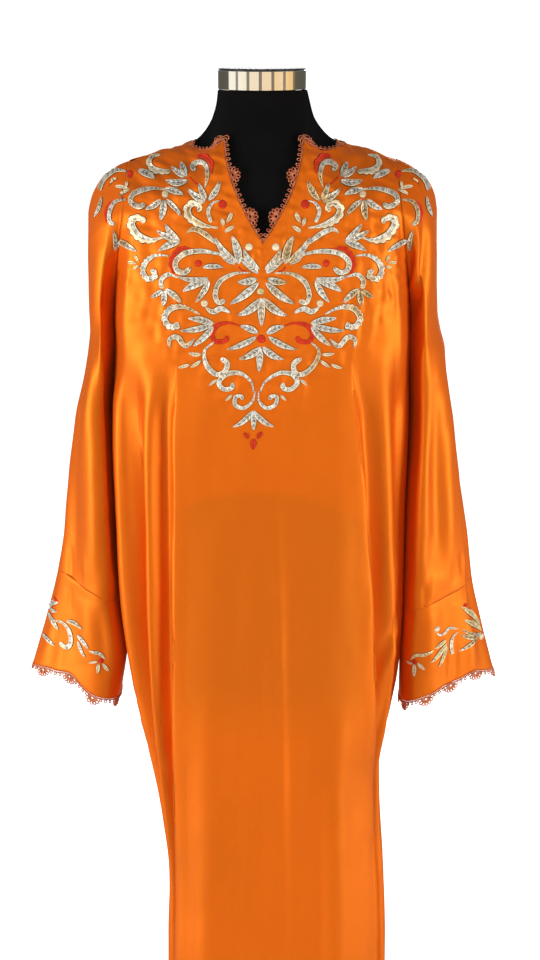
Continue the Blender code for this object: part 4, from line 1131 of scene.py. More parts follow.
YOKE_CURVES = each(
    Curve,
    ("beads", 6.6, ((-15, 1320), (-34, 1319), (-50, 1310), (-56, 1295), (-52, 1285), (-44, 1288))),
    ("scroll", 5.5,
     ((-25, 1257), (-39, 1261), (-53, 1258), (-60, 1248), (-56, 1239), (-44, 1240), (-42, 1246)), "red"),
    ("scroll", 7.1,
     ((-35, 1336), (-53, 1342), (-72, 1345), (-92, 1342), (-103, 1332), (-101, 1322), (-92, 1320),
      (-85, 1326))),
    ("scallop", 4.9, ((-81, 1347), (-96, 1348), (-105, 1340), (-109, 1329), (-105, 1318)), "red"),
    ("feather", 7.6,
     ((-112, 1339), (-126, 1339), (-138, 1332), (-143, 1320), (-137, 1311), (-128, 1315), (-132, 1323))),
    ("scallop", 9.8,
     ((-118, 1360), (-134, 1356), (-149, 1361), (-158, 1373), (-154, 1381), (-145, 1380), (-143, 1375))),
    ("beads", 6.0, ((-100, 1314), (-112, 1317), (-120, 1311), (-121, 1303))),
    ("feather", 8.2,
     ((-75, 1271), (-93, 1279), (-109, 1277), (-117, 1266), (-112, 1256), (-103, 1256), (-102, 1261))),
    ("wave", 6.6, ((-111, 1230), (-111, 1240), (-102, 1243), (-92, 1233), (-81, 1241))),
    ("beads", 7.1,
     ((-58, 1238), (-68, 1228), (-66, 1213), (-54, 1200), (-43, 1201), (-40, 1212), (-48, 1219))),
    ("wave", 7.1, ((-68, 1280), (-59, 1274), (-49, 1278), (-38, 1273))),
    ("scallop", 8.7,
     ((-54, 1372), (-72, 1375), (-87, 1383), (-91, 1393), (-84, 1400), (-76, 1397), (-78, 1390))),
    ("beads", 4.9, ((-53, 1403), (-61, 1400), (-66, 1391), (-62, 1378))),
    ("beads", 6.6, ((-70, 1418), (-67, 1432), (-70, 1443), (-79, 1445), (-86, 1440), (-82, 1436))),
    ("scallop", 5.5, ((-62, 1434), (-63, 1446), (-71, 1452), (-81, 1451)), "red"),
    ("leafy", 6.6, ((-90, 1366), (-83, 1370), (-71, 1366), (-53, 1353))),
    ("beads", 6.6, ((-117, 1414), (-138, 1414), (-156, 1408), (-160, 1399), (-150, 1394), (-142, 1397))),
    ("scallop", 7.1, ((-126, 1451), (-137, 1448), (-139, 1440), (-130, 1434), (-112, 1433))),
    ("beads", 6.6, ((-167, 1432), (-183, 1431), (-196, 1421), (-202, 1408))),
    ("beads", 6.0, ((-166, 1401), (-180, 1397), (-186, 1386), (-185, 1375), (-179, 1372))),
    ("scallop", 3.6, ((-176, 1400), (-186, 1395), (-191, 1385), (-189, 1373)), "red"),
    ("beads", 6.6,
     ((-4, 1178), (-9, 1191), (-24, 1201), (-40, 1199), (-47, 1189), (-40, 1181), (-31, 1183),
      (-31, 1189))),
    ("beads", 5.5,
     ((-2, 1178), (-4, 1166), (-14, 1158), (-24, 1162), (-25, 1171), (-19, 1173), (-16, 1168))),
    ("stem", 1.6, ((-28, 1327), (-24, 1323), (-19, 1322)), "red"),
    ("stem", 1.6, ((-89, 1429), (-82, 1423), (-75, 1421)), "red"),
)
YOKE_DOTS = each(
    Dot,
    (-16, 1350, 4.4, "cream"),
    (-76, 1331, 4.1, "red"),
    (-120, 1303, 3.3, "cream"),
    (-69, 1284, 4.1, "cream"),
    (-49, 1399, 4.9, "red"),
    (-118, 1409, 4.1, "cream"),
    (-163, 1429, 4.1, "red"),
)
MIDDLE_LEAVES = each(
    Leaf,
    (-1, 1290, -1, 1257, 9.3, 0),
    (-2, 1232, -1, 1202, 8.2, 0),
    (-2, 1155, -26, 1134, 6.8, 0.1),
    (-1, 1154, 0, 1130, 7.1, 0),
    (-1, 1155, 25, 1135, 7.1, -0.1),
    (0, 1120, -1, 1106, 6.6, 0, "red"),
    (-12, 1127, -7, 1119, 4.4, 0.1, "red"),
    (10, 1128, 5, 1119, 4.4, -0.1, "red"),
)
MIDDLE_DOTS = each(
    Dot,
    (-2, 1298, 4.1, "gold"),
    (-1, 1242, 4.9, "red"),
)
LEFT_CUFF_LEAVES = each(
    Leaf,
    (-265, 877, -280, 860, 4.9, -0.16),
    (-268, 864, -279, 860, 4.7, -0.1),
    (-281, 857, -266, 839, 7.0, 0.04),
    (-290, 827, -272, 817, 5.7, 0.06),
    (-255, 854, -232, 848, 6.4, 0.12),
    (-240, 839, -225, 823, 6.2, 0.05),
    (-239, 831, -229, 810, 4.9, -0.05),
    (-213, 807, -226, 804, 3.6, 0.0, "cream"),
    (-212, 804, -214, 790, 4.9, 0.0, "cream"),
    (-207, 804, -199, 793, 4.7, 0.0, "cream"),
)
LEFT_CUFF_CURVES = each(
    Curve,
    ("scroll", 6.8,
     ((-277, 849), (-263, 852), (-253, 845), (-249, 833), (-251, 822), (-258, 818), (-265, 823))),
    ("leafy", 4.7, ((-225, 821), (-218, 819), (-211, 818), (-203, 810))),
)
LEFT_CUFF_DOTS = each(
    Dot,
    (-270, 878, 3.3, "red"),
    (-209, 808, 3.3, "red"),
)
RIGHT_CUFF_LEAVES = each(
    Leaf,
    (257, 875, 286, 838, 5.5, 0.06, "gold"),
    (262, 856, 289, 830, 5.5, 0.05, "gold"),
    (288, 829, 258, 837, 6.4, 0.1),
    (283, 829, 256, 814, 5.7, 0.05),
    (279, 832, 259, 844, 3.9, 0.05),
    (238, 833, 222, 825, 5.7, 0.05, "gold"),
    (239, 828, 217, 806, 6.6, 0.05, "gold"),
    (239, 824, 228, 797, 5.2, 0.05, "gold"),
    (195, 803, 186, 804, 3.6, 0.0, "cream"),
    (197, 803, 197, 785, 5.2, 0.0, "cream"),
    (201, 805, 210, 796, 5.0, 0.0, "cream"),
)
RIGHT_CUFF_CURVES = each(
    Curve,
    ("leafy", 3.9, ((254, 845), (242, 848), (235, 842), (228, 842), (225, 846))),
    ("beads", 5.2, ((254, 841), (247, 835), (245, 824), (247, 811))),
    ("leafy", 4.6, ((221, 823), (209, 817), (198, 815), (192, 808)), "gold"),
)
RIGHT_CUFF_DOTS = each(
    Dot,
    (263, 875, 3.1, "red"),
    (225, 851, 4.0, "cream"),
    (288, 824, 3.6, "cream"),
    (197, 806, 3.1, "red"),
)
RAISED = 0.0013  # the work's greatest height over the cloth
LEAST_LIFT = 0.00012
FULL_WIDTH = 0.003  # work narrower than this is lower
LEAF_PLUMP, LEAF_STEPS, LEAF_SHIFT, LEAF_ROUND = 1.10, 17, 0.82, 0.72
COMMA_PLUMP = 1.12
CURVE_STEP, CURVE_LEAST, CURVE_MOST = 0.0006, 24, 150
CURVE_END = 0.06  # the share of a curve that rounds off
RIB_PITCH, SCALLOP_PITCH, FEATHER_PITCH = 0.0021, 0.0075, 0.0048
DOT_RISE, DOT_POINTS = 0.0012, 15
DOT_SECTION = ((0.0, 1.0), (0.45, 0.9), (0.8, 0.6), (0.92, 0.3), (1.06, 0.0))  # share of the radius, height
AXIS_X, AXIS_RIGHT, AXIS_LEFT = 0.0005, 0.002, 0.0105
AXIS_UPPER, AXIS_LOWER = (1.34, 0.06), (1.245, 0.115)  # where each lean begins, and its run


def yoke_axis(z):
    """The middle of the embroidered yoke, which leans a little to the left below."""
    right = AXIS_RIGHT * ease((z - AXIS_UPPER[0]) / AXIS_UPPER[1])
    return AXIS_X + right - AXIS_LEFT * ease((AXIS_LOWER[0] - z) / AXIS_LOWER[1])


def surface_tree(objects):
    verts, faces, count = [], [], 0
    for obj in objects:
        verts += [v.co.copy() for v in obj.data.vertices]
        faces += [[i + count for i in face.vertices] for face in obj.data.polygons]
        count = len(verts)
    return BVHTree.FromPolygons(verts, faces)


front_tree = surface_tree([one for one in cloths if one != back])
FRONT_MOST_Y, NEAREST_FROM_Y = 0.03, -0.04  # a hit beyond the first is behind, so the nearest is taken


def on_cloth(x, z):
    """The cloth's point and outward normal straight behind a place seen from the front."""
    hit, normal, _, _ = front_tree.ray_cast(Vector((x, -1.0, z)), Vector((0, 1, 0)))
    if hit is None or hit.y > FRONT_MOST_Y:
        hit, normal, _, _ = front_tree.find_nearest(Vector((x, NEAREST_FROM_Y, z)))
    return hit, normal if normal.y < 0.2 else -normal


def smooth_line(points, count):
    """A Catmull-Rom line through the points, at equal steps."""
    p = np.asarray(points, float)
    p = np.vstack([2 * p[0] - p[1], p, 2 * p[-1] - p[-2]])
    out = []
    for a, b, c, d in zip(p, p[1:], p[2:], p[3:]):
        t = np.linspace(0, 1, 12, endpoint=False)[:, None]
        bend, twist = 2 * a - 5 * b + 4 * c - d, 3 * b - a - 3 * c + d
        out.append(0.5 * (2 * b + (c - a) * t + bend * t**2 + twist * t**3))
    line = np.vstack([*out, p[-2:-1]])
    steps = np.concatenate([[0], np.cumsum(np.hypot(*np.diff(line, axis=0).T))])
    places = np.linspace(0, steps[-1], count)
    return np.stack([np.interp(places, steps, line[:, k]) for k in (0, 1)], axis=-1), steps[-1]


class Stitching:
    """Raised thread work of one colour, laid on the cloth and gathered into one mesh. Each point keeps
    how far along its thread it lies, how much it belongs to the pale cord and to the dark lines of
    painted shadow."""

    def __init__(self):
        self.verts, self.faces, self.runs, self.rims, self.lines = [], [], [], [], []

    def add(self, flat, heights, rows, columns, runs, rims, lines):
        """A grid of places in (x, z) with its heights over the cloth."""
        start = len(self.verts)
        for (x, z), height in zip(flat, heights):
            hit, normal = on_cloth(x, z)
            self.verts.append(hit + normal * (height + LEAST_LIFT))
        self.runs += list(runs)
        self.rims += list(rims)
        self.lines += list(lines)
        for i in range(rows - 1):
            for j in range(columns - 1):
                a = start + i * columns + j
                self.faces.append((a, a + 1, a + columns + 1, a + columns))

    def ribbon(self, line, left, right, section, rib=None):
        """A band along a line, with its reach to each side and its raised section across."""
        line, left, right = np.asarray(line), np.asarray(left), np.asarray(right)
        along = np.gradient(line, axis=0)
        steps = np.hypot(along[:, 0], along[:, 1])
        along /= np.maximum(steps, 1e-9)[:, None]
        across = np.stack([-along[:, 1], along[:, 0]], axis=1)
        offsets = np.array([strip.across for strip in section])
        rises = np.array([strip.rise for strip in section])
        reach = np.where(offsets[None, :] < 0, left[:, None], right[:, None]) * offsets[None, :]
        flat = line[:, None] + across[:, None] * reach[..., None]
        size = np.minimum(1, (left + right) / FULL_WIDTH)
        heights = RAISED * rises[None, :] * size[:, None]
        if rib is not None:
            heights = heights * rib[:, None]
        runs = np.cumsum(steps)[:, None] * 1000 - np.abs(reach) * 1000 * STITCH_SLANT
        rims = np.tile([strip.rim for strip in section], len(line))
        lines = np.tile([strip.line for strip in section], len(line))
        self.add(flat.reshape(-1, 2), heights.ravel(), len(line), len(section), runs.ravel(), rims, lines)

    def disc(self, x, z, radius):
        flat, heights, lines = [], [], []
        for share, height in DOT_SECTION:
            for turn in np.linspace(0, 2 * math.pi, DOT_POINTS):
                flat.append((x + radius * share * math.cos(turn), z + radius * share * math.sin(turn)))
                heights.append(DOT_RISE * height)
                # the outermost ring is a dark line of painted shadow at the dot's foot
                lines.append(float(share > 1))
        runs = [place[1] * 1000 for place in flat]
        self.add(flat, heights, len(DOT_SECTION), DOT_POINTS, runs, [0.0] * len(flat), lines)

    def finish(self, name, material):
        obj = mesh_object(name, self.verts, self.faces, material)
        for key, values in (("run", self.runs), ("rim", self.rims), ("line", self.lines)):
            obj.data.attributes.new(key, "FLOAT", "POINT").data.foreach_set("value", np.float32(values))
        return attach(obj, "root")


def turned(section):
    return tuple(strip._replace(across=-strip.across) for strip in reversed(section))


# Sections across the thread work: place from edge to edge, height, share of pale cord, share of dark line.
# The dark line is painted shadow at the work's edges and in its grooves.
STRIP = "across rise rim line"
STITCH_SLANT = 0.9
RIM = table(STRIP, (-1.06, 0.0, 0.0, 1.0), (-0.90, 0.40, 0.0, 1.0), (-0.84, 0.80, 1.0, 0.0),
            (-0.74, 0.85, 1.0, 0.0))
LEAF_MIDDLE = table(
    STRIP, (-0.64, 0.70, 0.0, 0.0), (-0.28, 1.0, 0.0, 0.0), (-0.10, 0.75, 0.0, 0.0), (0.0, 0.30, 0.0, 1.0),
    (0.10, 0.75, 0.0, 0.0), (0.28, 1.0, 0.0, 0.0), (0.64, 0.70, 0.0, 0.0))
CORD_MIDDLE = table(STRIP, (-0.50, 0.80, 0.0, 0.0), (0.0, 1.0, 0.0, 0.0), (0.50, 0.80, 0.0, 0.0))
COMMA_MIDDLE = table(STRIP, (-0.16, 0.95, 1.0, 0.0), (-0.04, 0.70, 0.0, 0.4), (0.10, 1.0, 0.0, 0.0),
                     (0.40, 0.80, 0.0, 0.0))
LEAF_SECTION, CORD_SECTION, COMMA_SECTION = (
    (*RIM, *middle, *turned(RIM)) for middle in (LEAF_MIDDLE, CORD_MIDDLE, COMMA_MIDDLE))


def stitch_leaf(work, leaf, mirror, lean):
    base, tip = np.array([leaf.x, leaf.z]) / 1000, np.array([leaf.to_x, leaf.to_z]) / 1000
    t = np.linspace(0, 1, LEAF_STEPS)
    run = tip - base
    side = np.array([-run[1], run[0]])
    line = base + run * t[:, None] + side * (leaf.bend * 4 * t * (1 - t))[:, None]
    half = LEAF_PLUMP * leaf.width / 2000 * np.sin(math.pi * t**LEAF_SHIFT) ** LEAF_ROUND
    line = lean(line, mirror)
    work[leaf.thread].ribbon(line, half, half, LEAF_SECTION)


def stitch_curve(work, curve, mirror, lean):
    line, length = smooth_line(np.array(curve.points) / 1000, 30)
    count = int(min(CURVE_MOST, max(CURVE_LEAST, length / CURVE_STEP)))
    line, length = smooth_line(np.array(curve.points) / 1000, count)
    t = np.linspace(0, 1, count)
    width = curve.width / 2000
    ends = np.sqrt(np.clip(1 - np.clip((t - 1 + CURVE_END) / CURVE_END, 0, 1) ** 2, 0, 1))
    left = right = width * (0.30 + 0.70 * ease(t / 0.5)) * ends
    rib = 0.80 + 0.20 * np.cos(2 * math.pi * t * round(length / RIB_PITCH))
    outer = np.ones(count)
    section = CORD_SECTION
    if curve.form == "scallop":
        outer = 0.78 + 0.42 * np.abs(np.sin(math.pi * t * round(length / SCALLOP_PITCH)))
        swell = (0.24 + 0.76 * ease(t / 0.42)) * (1 - 0.40 * ease((t - 0.62) / 0.38))
        left = right = width * COMMA_PLUMP * swell * ends
        section = COMMA_SECTION
    elif curve.form == "feather":
        outer = 0.97 + 0.25 * np.cos(2 * math.pi * t * round(length / FEATHER_PITCH))
    elif curve.form in ("leafy", "wave"):
        left = right = LEAF_PLUMP * width * np.sin(math.pi * np.clip(t * 0.96 + 0.02, 0, 1)) ** 0.6
    elif curve.form == "stem":
        left = right = np.full(count, width)
    # the toothed or scalloped edge is on the outer side of the bend
    turn = np.cross(np.diff(line, axis=0)[:-1], np.diff(line, axis=0)[1:]).sum()
    line = lean(line, mirror)
    turn = turn * (-1 if mirror else 1)
    if turn < 0:
        right = right * outer
        section = turned(section)
    else:
        left = left * outer
    work[curve.thread].ribbon(line, left, right, section, rib)


def lean_yoke(line, mirror):
    line = np.array(line, float)
    line[:, 0] = line[:, 0] * (-1 if mirror else 1) + yoke_axis(line[:, 1])
    return line


def as_is(line, mirror):
    return line


work = {name: Stitching() for name in ("silver", "gold", "cream", "red")}
for leaves, curves, dots, mirrors, lean in (
        (YOKE_LEAVES, YOKE_CURVES, YOKE_DOTS, (False, True), lean_yoke),
        (MIDDLE_LEAVES, (), MIDDLE_DOTS, (False,), lean_yoke),
        (LEFT_CUFF_LEAVES, LEFT_CUFF_CURVES, LEFT_CUFF_DOTS, (False,), as_is),
        (RIGHT_CUFF_LEAVES, RIGHT_CUFF_CURVES, RIGHT_CUFF_DOTS, (False,), as_is)):
    for mirror in mirrors:
        for leaf in leaves:
            stitch_leaf(work, leaf, mirror, lean)
        for curve in curves:
            stitch_curve(work, curve, mirror, lean)
        for dot in dots:
            x, z = lean(np.array([[dot.x, dot.z]]) / 1000, mirror)[0]
            work[dot.thread].disc(x, z, dot.radius / 1000)


# Threads laid in close slanted stitches, with painted highlights and painted shade along them,
# edged with a pale cord and a dark line of painted shadow where they end
THREADS = table(
    "colour name light deep rim line metallic roughness",
    ("silver", "silver_thread", SILVER, SILVER_PAINTED_SHADE, CREAM, CORD_PAINTED_SHADOW, 0.45, 0.36),
    ("gold", "pale_gold_thread", PALE_GOLD, GOLD_PAINTED_SHADE, CREAM, CORD_PAINTED_SHADOW, 0.45, 0.36),
    ("cream", "cream_thread", CREAM, CREAM_PAINTED_SHADE, CREAM, CORD_PAINTED_SHADOW, 0.0, 0.6),
    ("red", "red_thread", RED_THREAD, RED_PAINTED_SHADE, RED_THREAD, RED_PAINTED_SHADOW, 0.0, 0.8),
)


def laid_thread(thread):
    made = Finish(thread.name, thread.light, thread.roughness, thread.metallic)
    along = made.node("ShaderNodeAttribute", attribute_name="run")
    coarse = made.noise(310.0, detail=2.0)
    place = made.node("ShaderNodeCombineXYZ")
    made.join(along, "Fac", place, "X")
    made.join(coarse, "Fac", place, "Y")
    stitches = made.node("ShaderNodeTexNoise", Scale=1.15, Detail=1.0)
    made.join(place, "Vector", stitches, "Vector")
    # light and deep stitches: painted highlights and painted shade
    body = made.mix(made.between(stitches, "Fac", 0.34, 0.60), "Result", thread.deep, thread.light)
    if thread.colour == "silver":
        cast = made.between(made.noise(19.0, detail=2.0), "Fac", 0.46, 0.68)
        body = made.mix(cast, "Result", (body, 2), GILT)
        body.blend_type = "MULTIPLY"
    rim = made.node("ShaderNodeAttribute", attribute_name="rim")
    edged = made.mix(rim, "Fac", (body, 2), thread.rim)
    # dark lines: painted shadow round the work's edges and in its grooves
    line = made.node("ShaderNodeAttribute", attribute_name="line")
    made.colour(made.mix(line, "Fac", (edged, 2), thread.line))
    made.bump(stitches, "Fac", 0.8, 0.0008)
    made.shader.inputs["Specular IOR Level"].default_value = 0.25
    return made.material


for thread in THREADS:
    work[thread.colour].finish(f"{thread.colour}_embroidery", laid_thread(thread))


# Crocheted lace along the neckline and the cuffs, of looped thread
LACE_THREAD = 0.00055  # radius of a loop's thread
CORD_PITCH, CORD_PLACE, CORD_SWING, CORD_RADIUS = 0.0021, (0.0002, 0.0005), 0.00040, 0.00050
PICOT_PITCH, PICOT_FOOT = 0.0068, 0.0010
PICOT_HALF = (0.0016, 0.0020)  # across and along its own way
FAN_CLEAR = 0.0105  # no picot is nearer than this to a fan's middle
FAN_FOOT, FAN_FLATNESS = 0.0022, 0.93
FAN_ARCS = ((0.0046, 0.00085), (0.0061, 0.00080))  # reach, radius of its thread
ARC_TURN, PETAL_TURN = 92, 87  # degrees to each side
SPOKE, SPOKE_RADIUS = (0.0030, 0.0068), 0.00060
PETALS, PETAL_REACH = 7, 0.0087
PETAL_HALF = (0.0017, 0.0023)
HOLE_HALF, HOLE_PLACE, HOLE_RADIUS = (0.0026, 0.0021), 0.0034, 0.00080
CUFF_LACE_WEIGHT = 1.35  # the cuffs' lace is of thicker thread
THREAD_SIDES = 5


class Threads:
    """Many tubes of thread gathered into one mesh."""

    def __init__(self):
        self.verts, self.faces, self.count = [], [], 0

    def tube(self, points, radius, closed=False):
        points = np.asarray(points, float)
        number = len(points)
        if closed:
            along = np.roll(points, -1, axis=0) - np.roll(points, 1, axis=0)
        else:
            along = np.gradient(points, axis=0)
        along /= np.maximum(np.linalg.norm(along, axis=1, keepdims=True), 1e-9)
        first = np.cross(along, (0.0, -1.0, 0.12))
        first /= np.maximum(np.linalg.norm(first, axis=1, keepdims=True), 1e-9)
        second = np.cross(along, first)
        radii = np.broadcast_to(np.asarray(radius, float), (number,))[:, None, None]
        sides = THREAD_SIDES
        turns = (np.arange(sides) * 2 * math.pi / sides)[None, :, None]
        ring = first[:, None] * np.cos(turns) + second[:, None] * np.sin(turns)
        self.verts.append((points[:, None] + ring * radii).reshape(-1, 3))
        i = np.arange(number if closed else number - 1)[:, None]
        j = np.arange(sides)[None, :]
        low, high = i * sides, ((i + 1) % number) * sides
        quad = np.stack([low + j, low + (j + 1) % sides, high + (j + 1) % sides, high + j], axis=-1)
        self.faces.append(quad.reshape(-1, 4) + self.count)
        self.count += number * sides

    def finish(self, name, material):
        obj = mesh_object(name, np.vstack(self.verts), np.vstack(self.faces), material)
        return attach(obj, "root")


def run_along(feet, uppers):
    """How far an edge goes, and its point for a place along it and a height beyond it. Uppers are the
    points that lie one step beyond the feet."""
    feet, uppers = np.asarray(feet), np.asarray(uppers)
    steps = np.concatenate([[0], np.cumsum(np.linalg.norm(np.diff(feet, axis=0), axis=1))])
    ways = uppers - feet
    ways /= np.linalg.norm(ways, axis=1, keepdims=True)

    def at(place, height):
        place, height = np.asarray(place, float) % steps[-1], np.asarray(height, float)
        foot = np.stack([np.interp(place, steps, feet[:, k]) for k in range(3)], axis=-1)
        way = np.stack([np.interp(place, steps, ways[:, k]) for k in range(3)], axis=-1)
        return foot + way * (height + LACE_GAP)[..., None]

    return steps[-1], at


NECK_POINT_REACH = 0.012  # this near to the shoulder seam the lace turns to follow the ridge
LACE_REACH, CUFF_LACE_REACH = 0.003, 0.006  # how far off the points lie that give the lace its way
RUN_STEPS = 6


def neckline_run():
    """The neckline's edge from the slit's foot up its left side, round behind and down its right side."""
    feet, uppers = [], []
    for way, side, turn, last in (("front", "left", 1, SLIT_COLUMNS + NECK_COLUMNS),
                                  ("back", "left", -1, BACK_NECK_COLUMNS),
                                  ("back", "right", -1, BACK_NECK_COLUMNS),
                                  ("front", "right", 1, SLIT_COLUMNS + NECK_COLUMNS)):
        index = np.linspace(0, last, last * RUN_STEPS + 1)
        if (way == "back") == (side == "left"):
            index = index[::-1]
        if uppers and way == "back" and side == "right":
            index = index[1:]
        x, z = top_edge(side, way, index)
        dx, dz = np.gradient(x), np.gradient(z)
        size = np.hypot(dx, dz)
        into_x, into_z = turn * dz / size, turn * -dx / size
        near = ease((np.abs(np.abs(x) - NECK_POINT_X[side])) / NECK_POINT_REACH)
        ahead = x - np.sign(x) * LACE_STEP
        ridge_x, ridge_z = ahead - x, ridge_height(ahead) - ridge_height(x)
        ridge_size = np.hypot(ridge_x, ridge_z)
        into_x = into_x * near + ridge_x / ridge_size * (1 - near)
        into_z = into_z * near + ridge_z / ridge_size * (1 - near)
        px, pz = x + into_x * LACE_REACH, z + into_z * LACE_REACH
        foot = yoke_points(x, z, way)
        upper = yoke_points(px, np.minimum(pz, ridge_height(px) - SEAM_GAP), way)
        feet.append(foot)
        uppers.append(upper)
    return run_along(np.vstack(feet), np.vstack(uppers))


def cuff_run(side):
    edge, above = (hem_waved(sleeve_ring(side, CUFF_HEM_Z[side] + up, 120, 18), side)
                   for up in (0.0, CUFF_LACE_REACH))
    if side == "left":
        edge, above = edge[::-1], above[::-1]
    edge, above = np.vstack([edge, edge[:1]]), np.vstack([above, above[:1]])
    return run_along(edge, edge + (edge - above))


def crochet(name, run, fans, weight=1.0):
    """Lace along an edge: a twisted cord, a row of picots, and a half flower of looped petals with a
    hole at its foot at each of the places."""
    length, at = run
    work = Threads()

    def loop(place, height, turn, half, radius=LACE_THREAD):
        """A loop whose long way is turned from straight outwards by an angle."""
        way = np.linspace(0, 2 * math.pi, 12, endpoint=False)
        across, out = half[0] * np.sin(way), -half[1] * np.cos(way)
        work.tube(at(place + across * math.cos(turn) + out * math.sin(turn),
                     height - across * math.sin(turn) + out * math.cos(turn)), radius * weight, True)

    count = round(length / CORD_PITCH)
    places = np.arange(count * 4) * length / (count * 4)
    swing = CORD_SWING * np.sin(places * math.pi * 2 * count / length)
    work.tube(at(places, CORD_PLACE[0] + swing), CORD_RADIUS * weight, True)
    work.tube(at(places, CORD_PLACE[1] - swing), CORD_RADIUS * weight, True)
    picots = round(length / PICOT_PITCH)
    for i in range(picots):
        place = (i + 0.5) * length / picots
        gap = min(abs((place - fan + length / 2) % length - length / 2) for fan in fans)
        if gap > FAN_CLEAR:
            loop(place, PICOT_FOOT + PICOT_HALF[1], 0.0, PICOT_HALF)

    def around(fan, reach, turn):
        return fan + reach * np.sin(turn), FAN_FOOT + reach * FAN_FLATNESS * np.cos(turn)

    for fan in fans:
        loop(fan, HOLE_PLACE, 0.0, HOLE_HALF, HOLE_RADIUS)
        for reach, radius in FAN_ARCS:
            arc = np.linspace(-1, 1, 15) * math.radians(ARC_TURN)
            work.tube(at(*around(fan, reach, arc)), radius * weight)
        for k in range(PETALS):
            turn = math.radians(PETAL_TURN) * (2 * k / (PETALS - 1) - 1)
            work.tube(at(*around(fan, np.linspace(*SPOKE, 4), turn)), SPOKE_RADIUS * weight)
            loop(*around(fan, PETAL_REACH, turn), turn, PETAL_HALF)
    obj = work.finish(name, lace_thread)
    return obj


lace_finish = Finish("lace_thread", LACE, 0.80)
lace_finish.shader.inputs["Specular IOR Level"].default_value = 0.2
lace_grain = lace_finish.noise(260.0, detail=3.0)
lace_share = lace_finish.between(lace_grain, "Fac", 0.35, 0.62)
lace_finish.colour(lace_finish.mix(lace_share, "Result", LACE_DEEP, LACE))
lace_finish.bump(lace_finish.noise(2200.0), "Fac", 0.5, 0.0003)
lace_thread = lace_finish.material
neck = neckline_run()
neck_fans = [*NECK_FANS, *(neck[0] - place for place in reversed(NECK_FANS))]
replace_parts(crochet("neck_crochet", neck, neck_fans), "neck_lace")
for side in SIDES:
    run = cuff_run(side)
    count = round(run[0] / CUFF_FAN_PITCH)
    fans = [(i + 0.5) * run[0] / count for i in range(count)]
    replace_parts(crochet(f"{side}_cuff_crochet", run, fans, CUFF_LACE_WEIGHT), f"{side}_cuff_lace")


# The dress form and its stand
def form_ring(z, columns):
    own = {name: float(f(z)) for name, f in form.items()}
    own["left"] = own["right"] = own["width"]
    if z > FORM_SHOULDER_Z:
        own = {name: float(f(z + FORM_BELOW_CLOTH)) for name, f in yoke.items()}
    turn = np.arange(columns) * 2 * math.pi / columns
    x = -np.sign(np.cos(turn)) * np.abs(np.cos(turn)) ** (2 / own["power"])
    x = x * by_side(x, own["left"], own["right"])
    rise = np.abs(np.sin(turn)) ** (2 / own["power"])
    ring = []
    for way, sign in (("front", -1), ("back", 1)):
        y = rise * own[way]
        if z > UNDERARM_Z:
            cover = yoke_depth(x, z + FORM_BELOW_CLOTH, way) - FORM_BEHIND_CLOTH
            y = np.where(rise > 1e-6, np.minimum(y, np.maximum(cover, 0.002)), y)
        ring.append(sign * y)
    y = np.where(np.arange(columns) <= columns // 2, ring[0], ring[1])
    return np.stack([x, y, np.full(columns, z)], axis=-1)


SHARP_FROM = 35  # degrees


def closed_rings(name, rings, material):
    """A closed body through rings that run anticlockwise from above, from its foot to its top."""
    rings = np.asarray(rings)
    rows, columns = rings.shape[:2]
    i, j = np.arange(rows - 1)[:, None], np.arange(columns)[None, :]
    k = (j + 1) % columns
    quads = np.stack([i * columns + j, i * columns + k, (i + 1) * columns + k, (i + 1) * columns + j], -1)
    faces = [*quads.reshape(-1, 4).tolist(), list(range(columns))[::-1],
             list(range((rows - 1) * columns, rows * columns))]
    obj = mesh_object(name, rings.reshape(-1, 3), faces, material)
    obj.data.set_sharp_from_angle(angle=math.radians(SHARP_FROM))
    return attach(obj, "root")


def lathe(name, profile, material, segments=128):
    turns = np.arange(segments) * 2 * math.pi / segments
    rings = [np.stack([r * np.cos(turns), r * np.sin(turns), np.full(segments, z)], -1) for r, z in profile]
    return closed_rings(name, rings, material)


FORM_AROUND, FORM_ROWS_EACH, FORM_ROWS_HIGH = 120, 4, 61
NECK_EDGE = 0.0020
NECK_ROUND = ((0.0004, 0.0010), (0.0012, 0.0017), (0.0024, 0.0020))  # inset, height over the last ring
low = finer([row.z for row in reversed(FORM)], FORM_ROWS_EACH)
high = FORM_SHOULDER_Z + (NECK_TOP_Z - NECK_EDGE - FORM_SHOULDER_Z) * np.linspace(0, 1, FORM_ROWS_HIGH)[1:]
rings = [form_ring(z, FORM_AROUND) for z in (*low, *high)]
top_ring = rings[-1]
for inset, lift in NECK_ROUND:
    ring = top_ring * (1 - inset / CAP_RADIUS)
    ring[:, 2] = NECK_TOP_Z - NECK_EDGE + lift
    rings.append(ring)
torso = closed_rings("form_jersey", rings, jersey_finish())
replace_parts(torso, "form_torso")

chrome = chrome_finish("chrome", CHROME, *CHROME_ROUGH)
stand_coat = coat_finish("stand_coat", STAND_COAT, 0.38)
LID_THICK = 0.0022
cap_low, cap_high = NECK_TOP_Z + FACE_GAP, NECK_TOP_Z + FACE_GAP + CAP_HEIGHT
lid_z = cap_high - LID_THICK
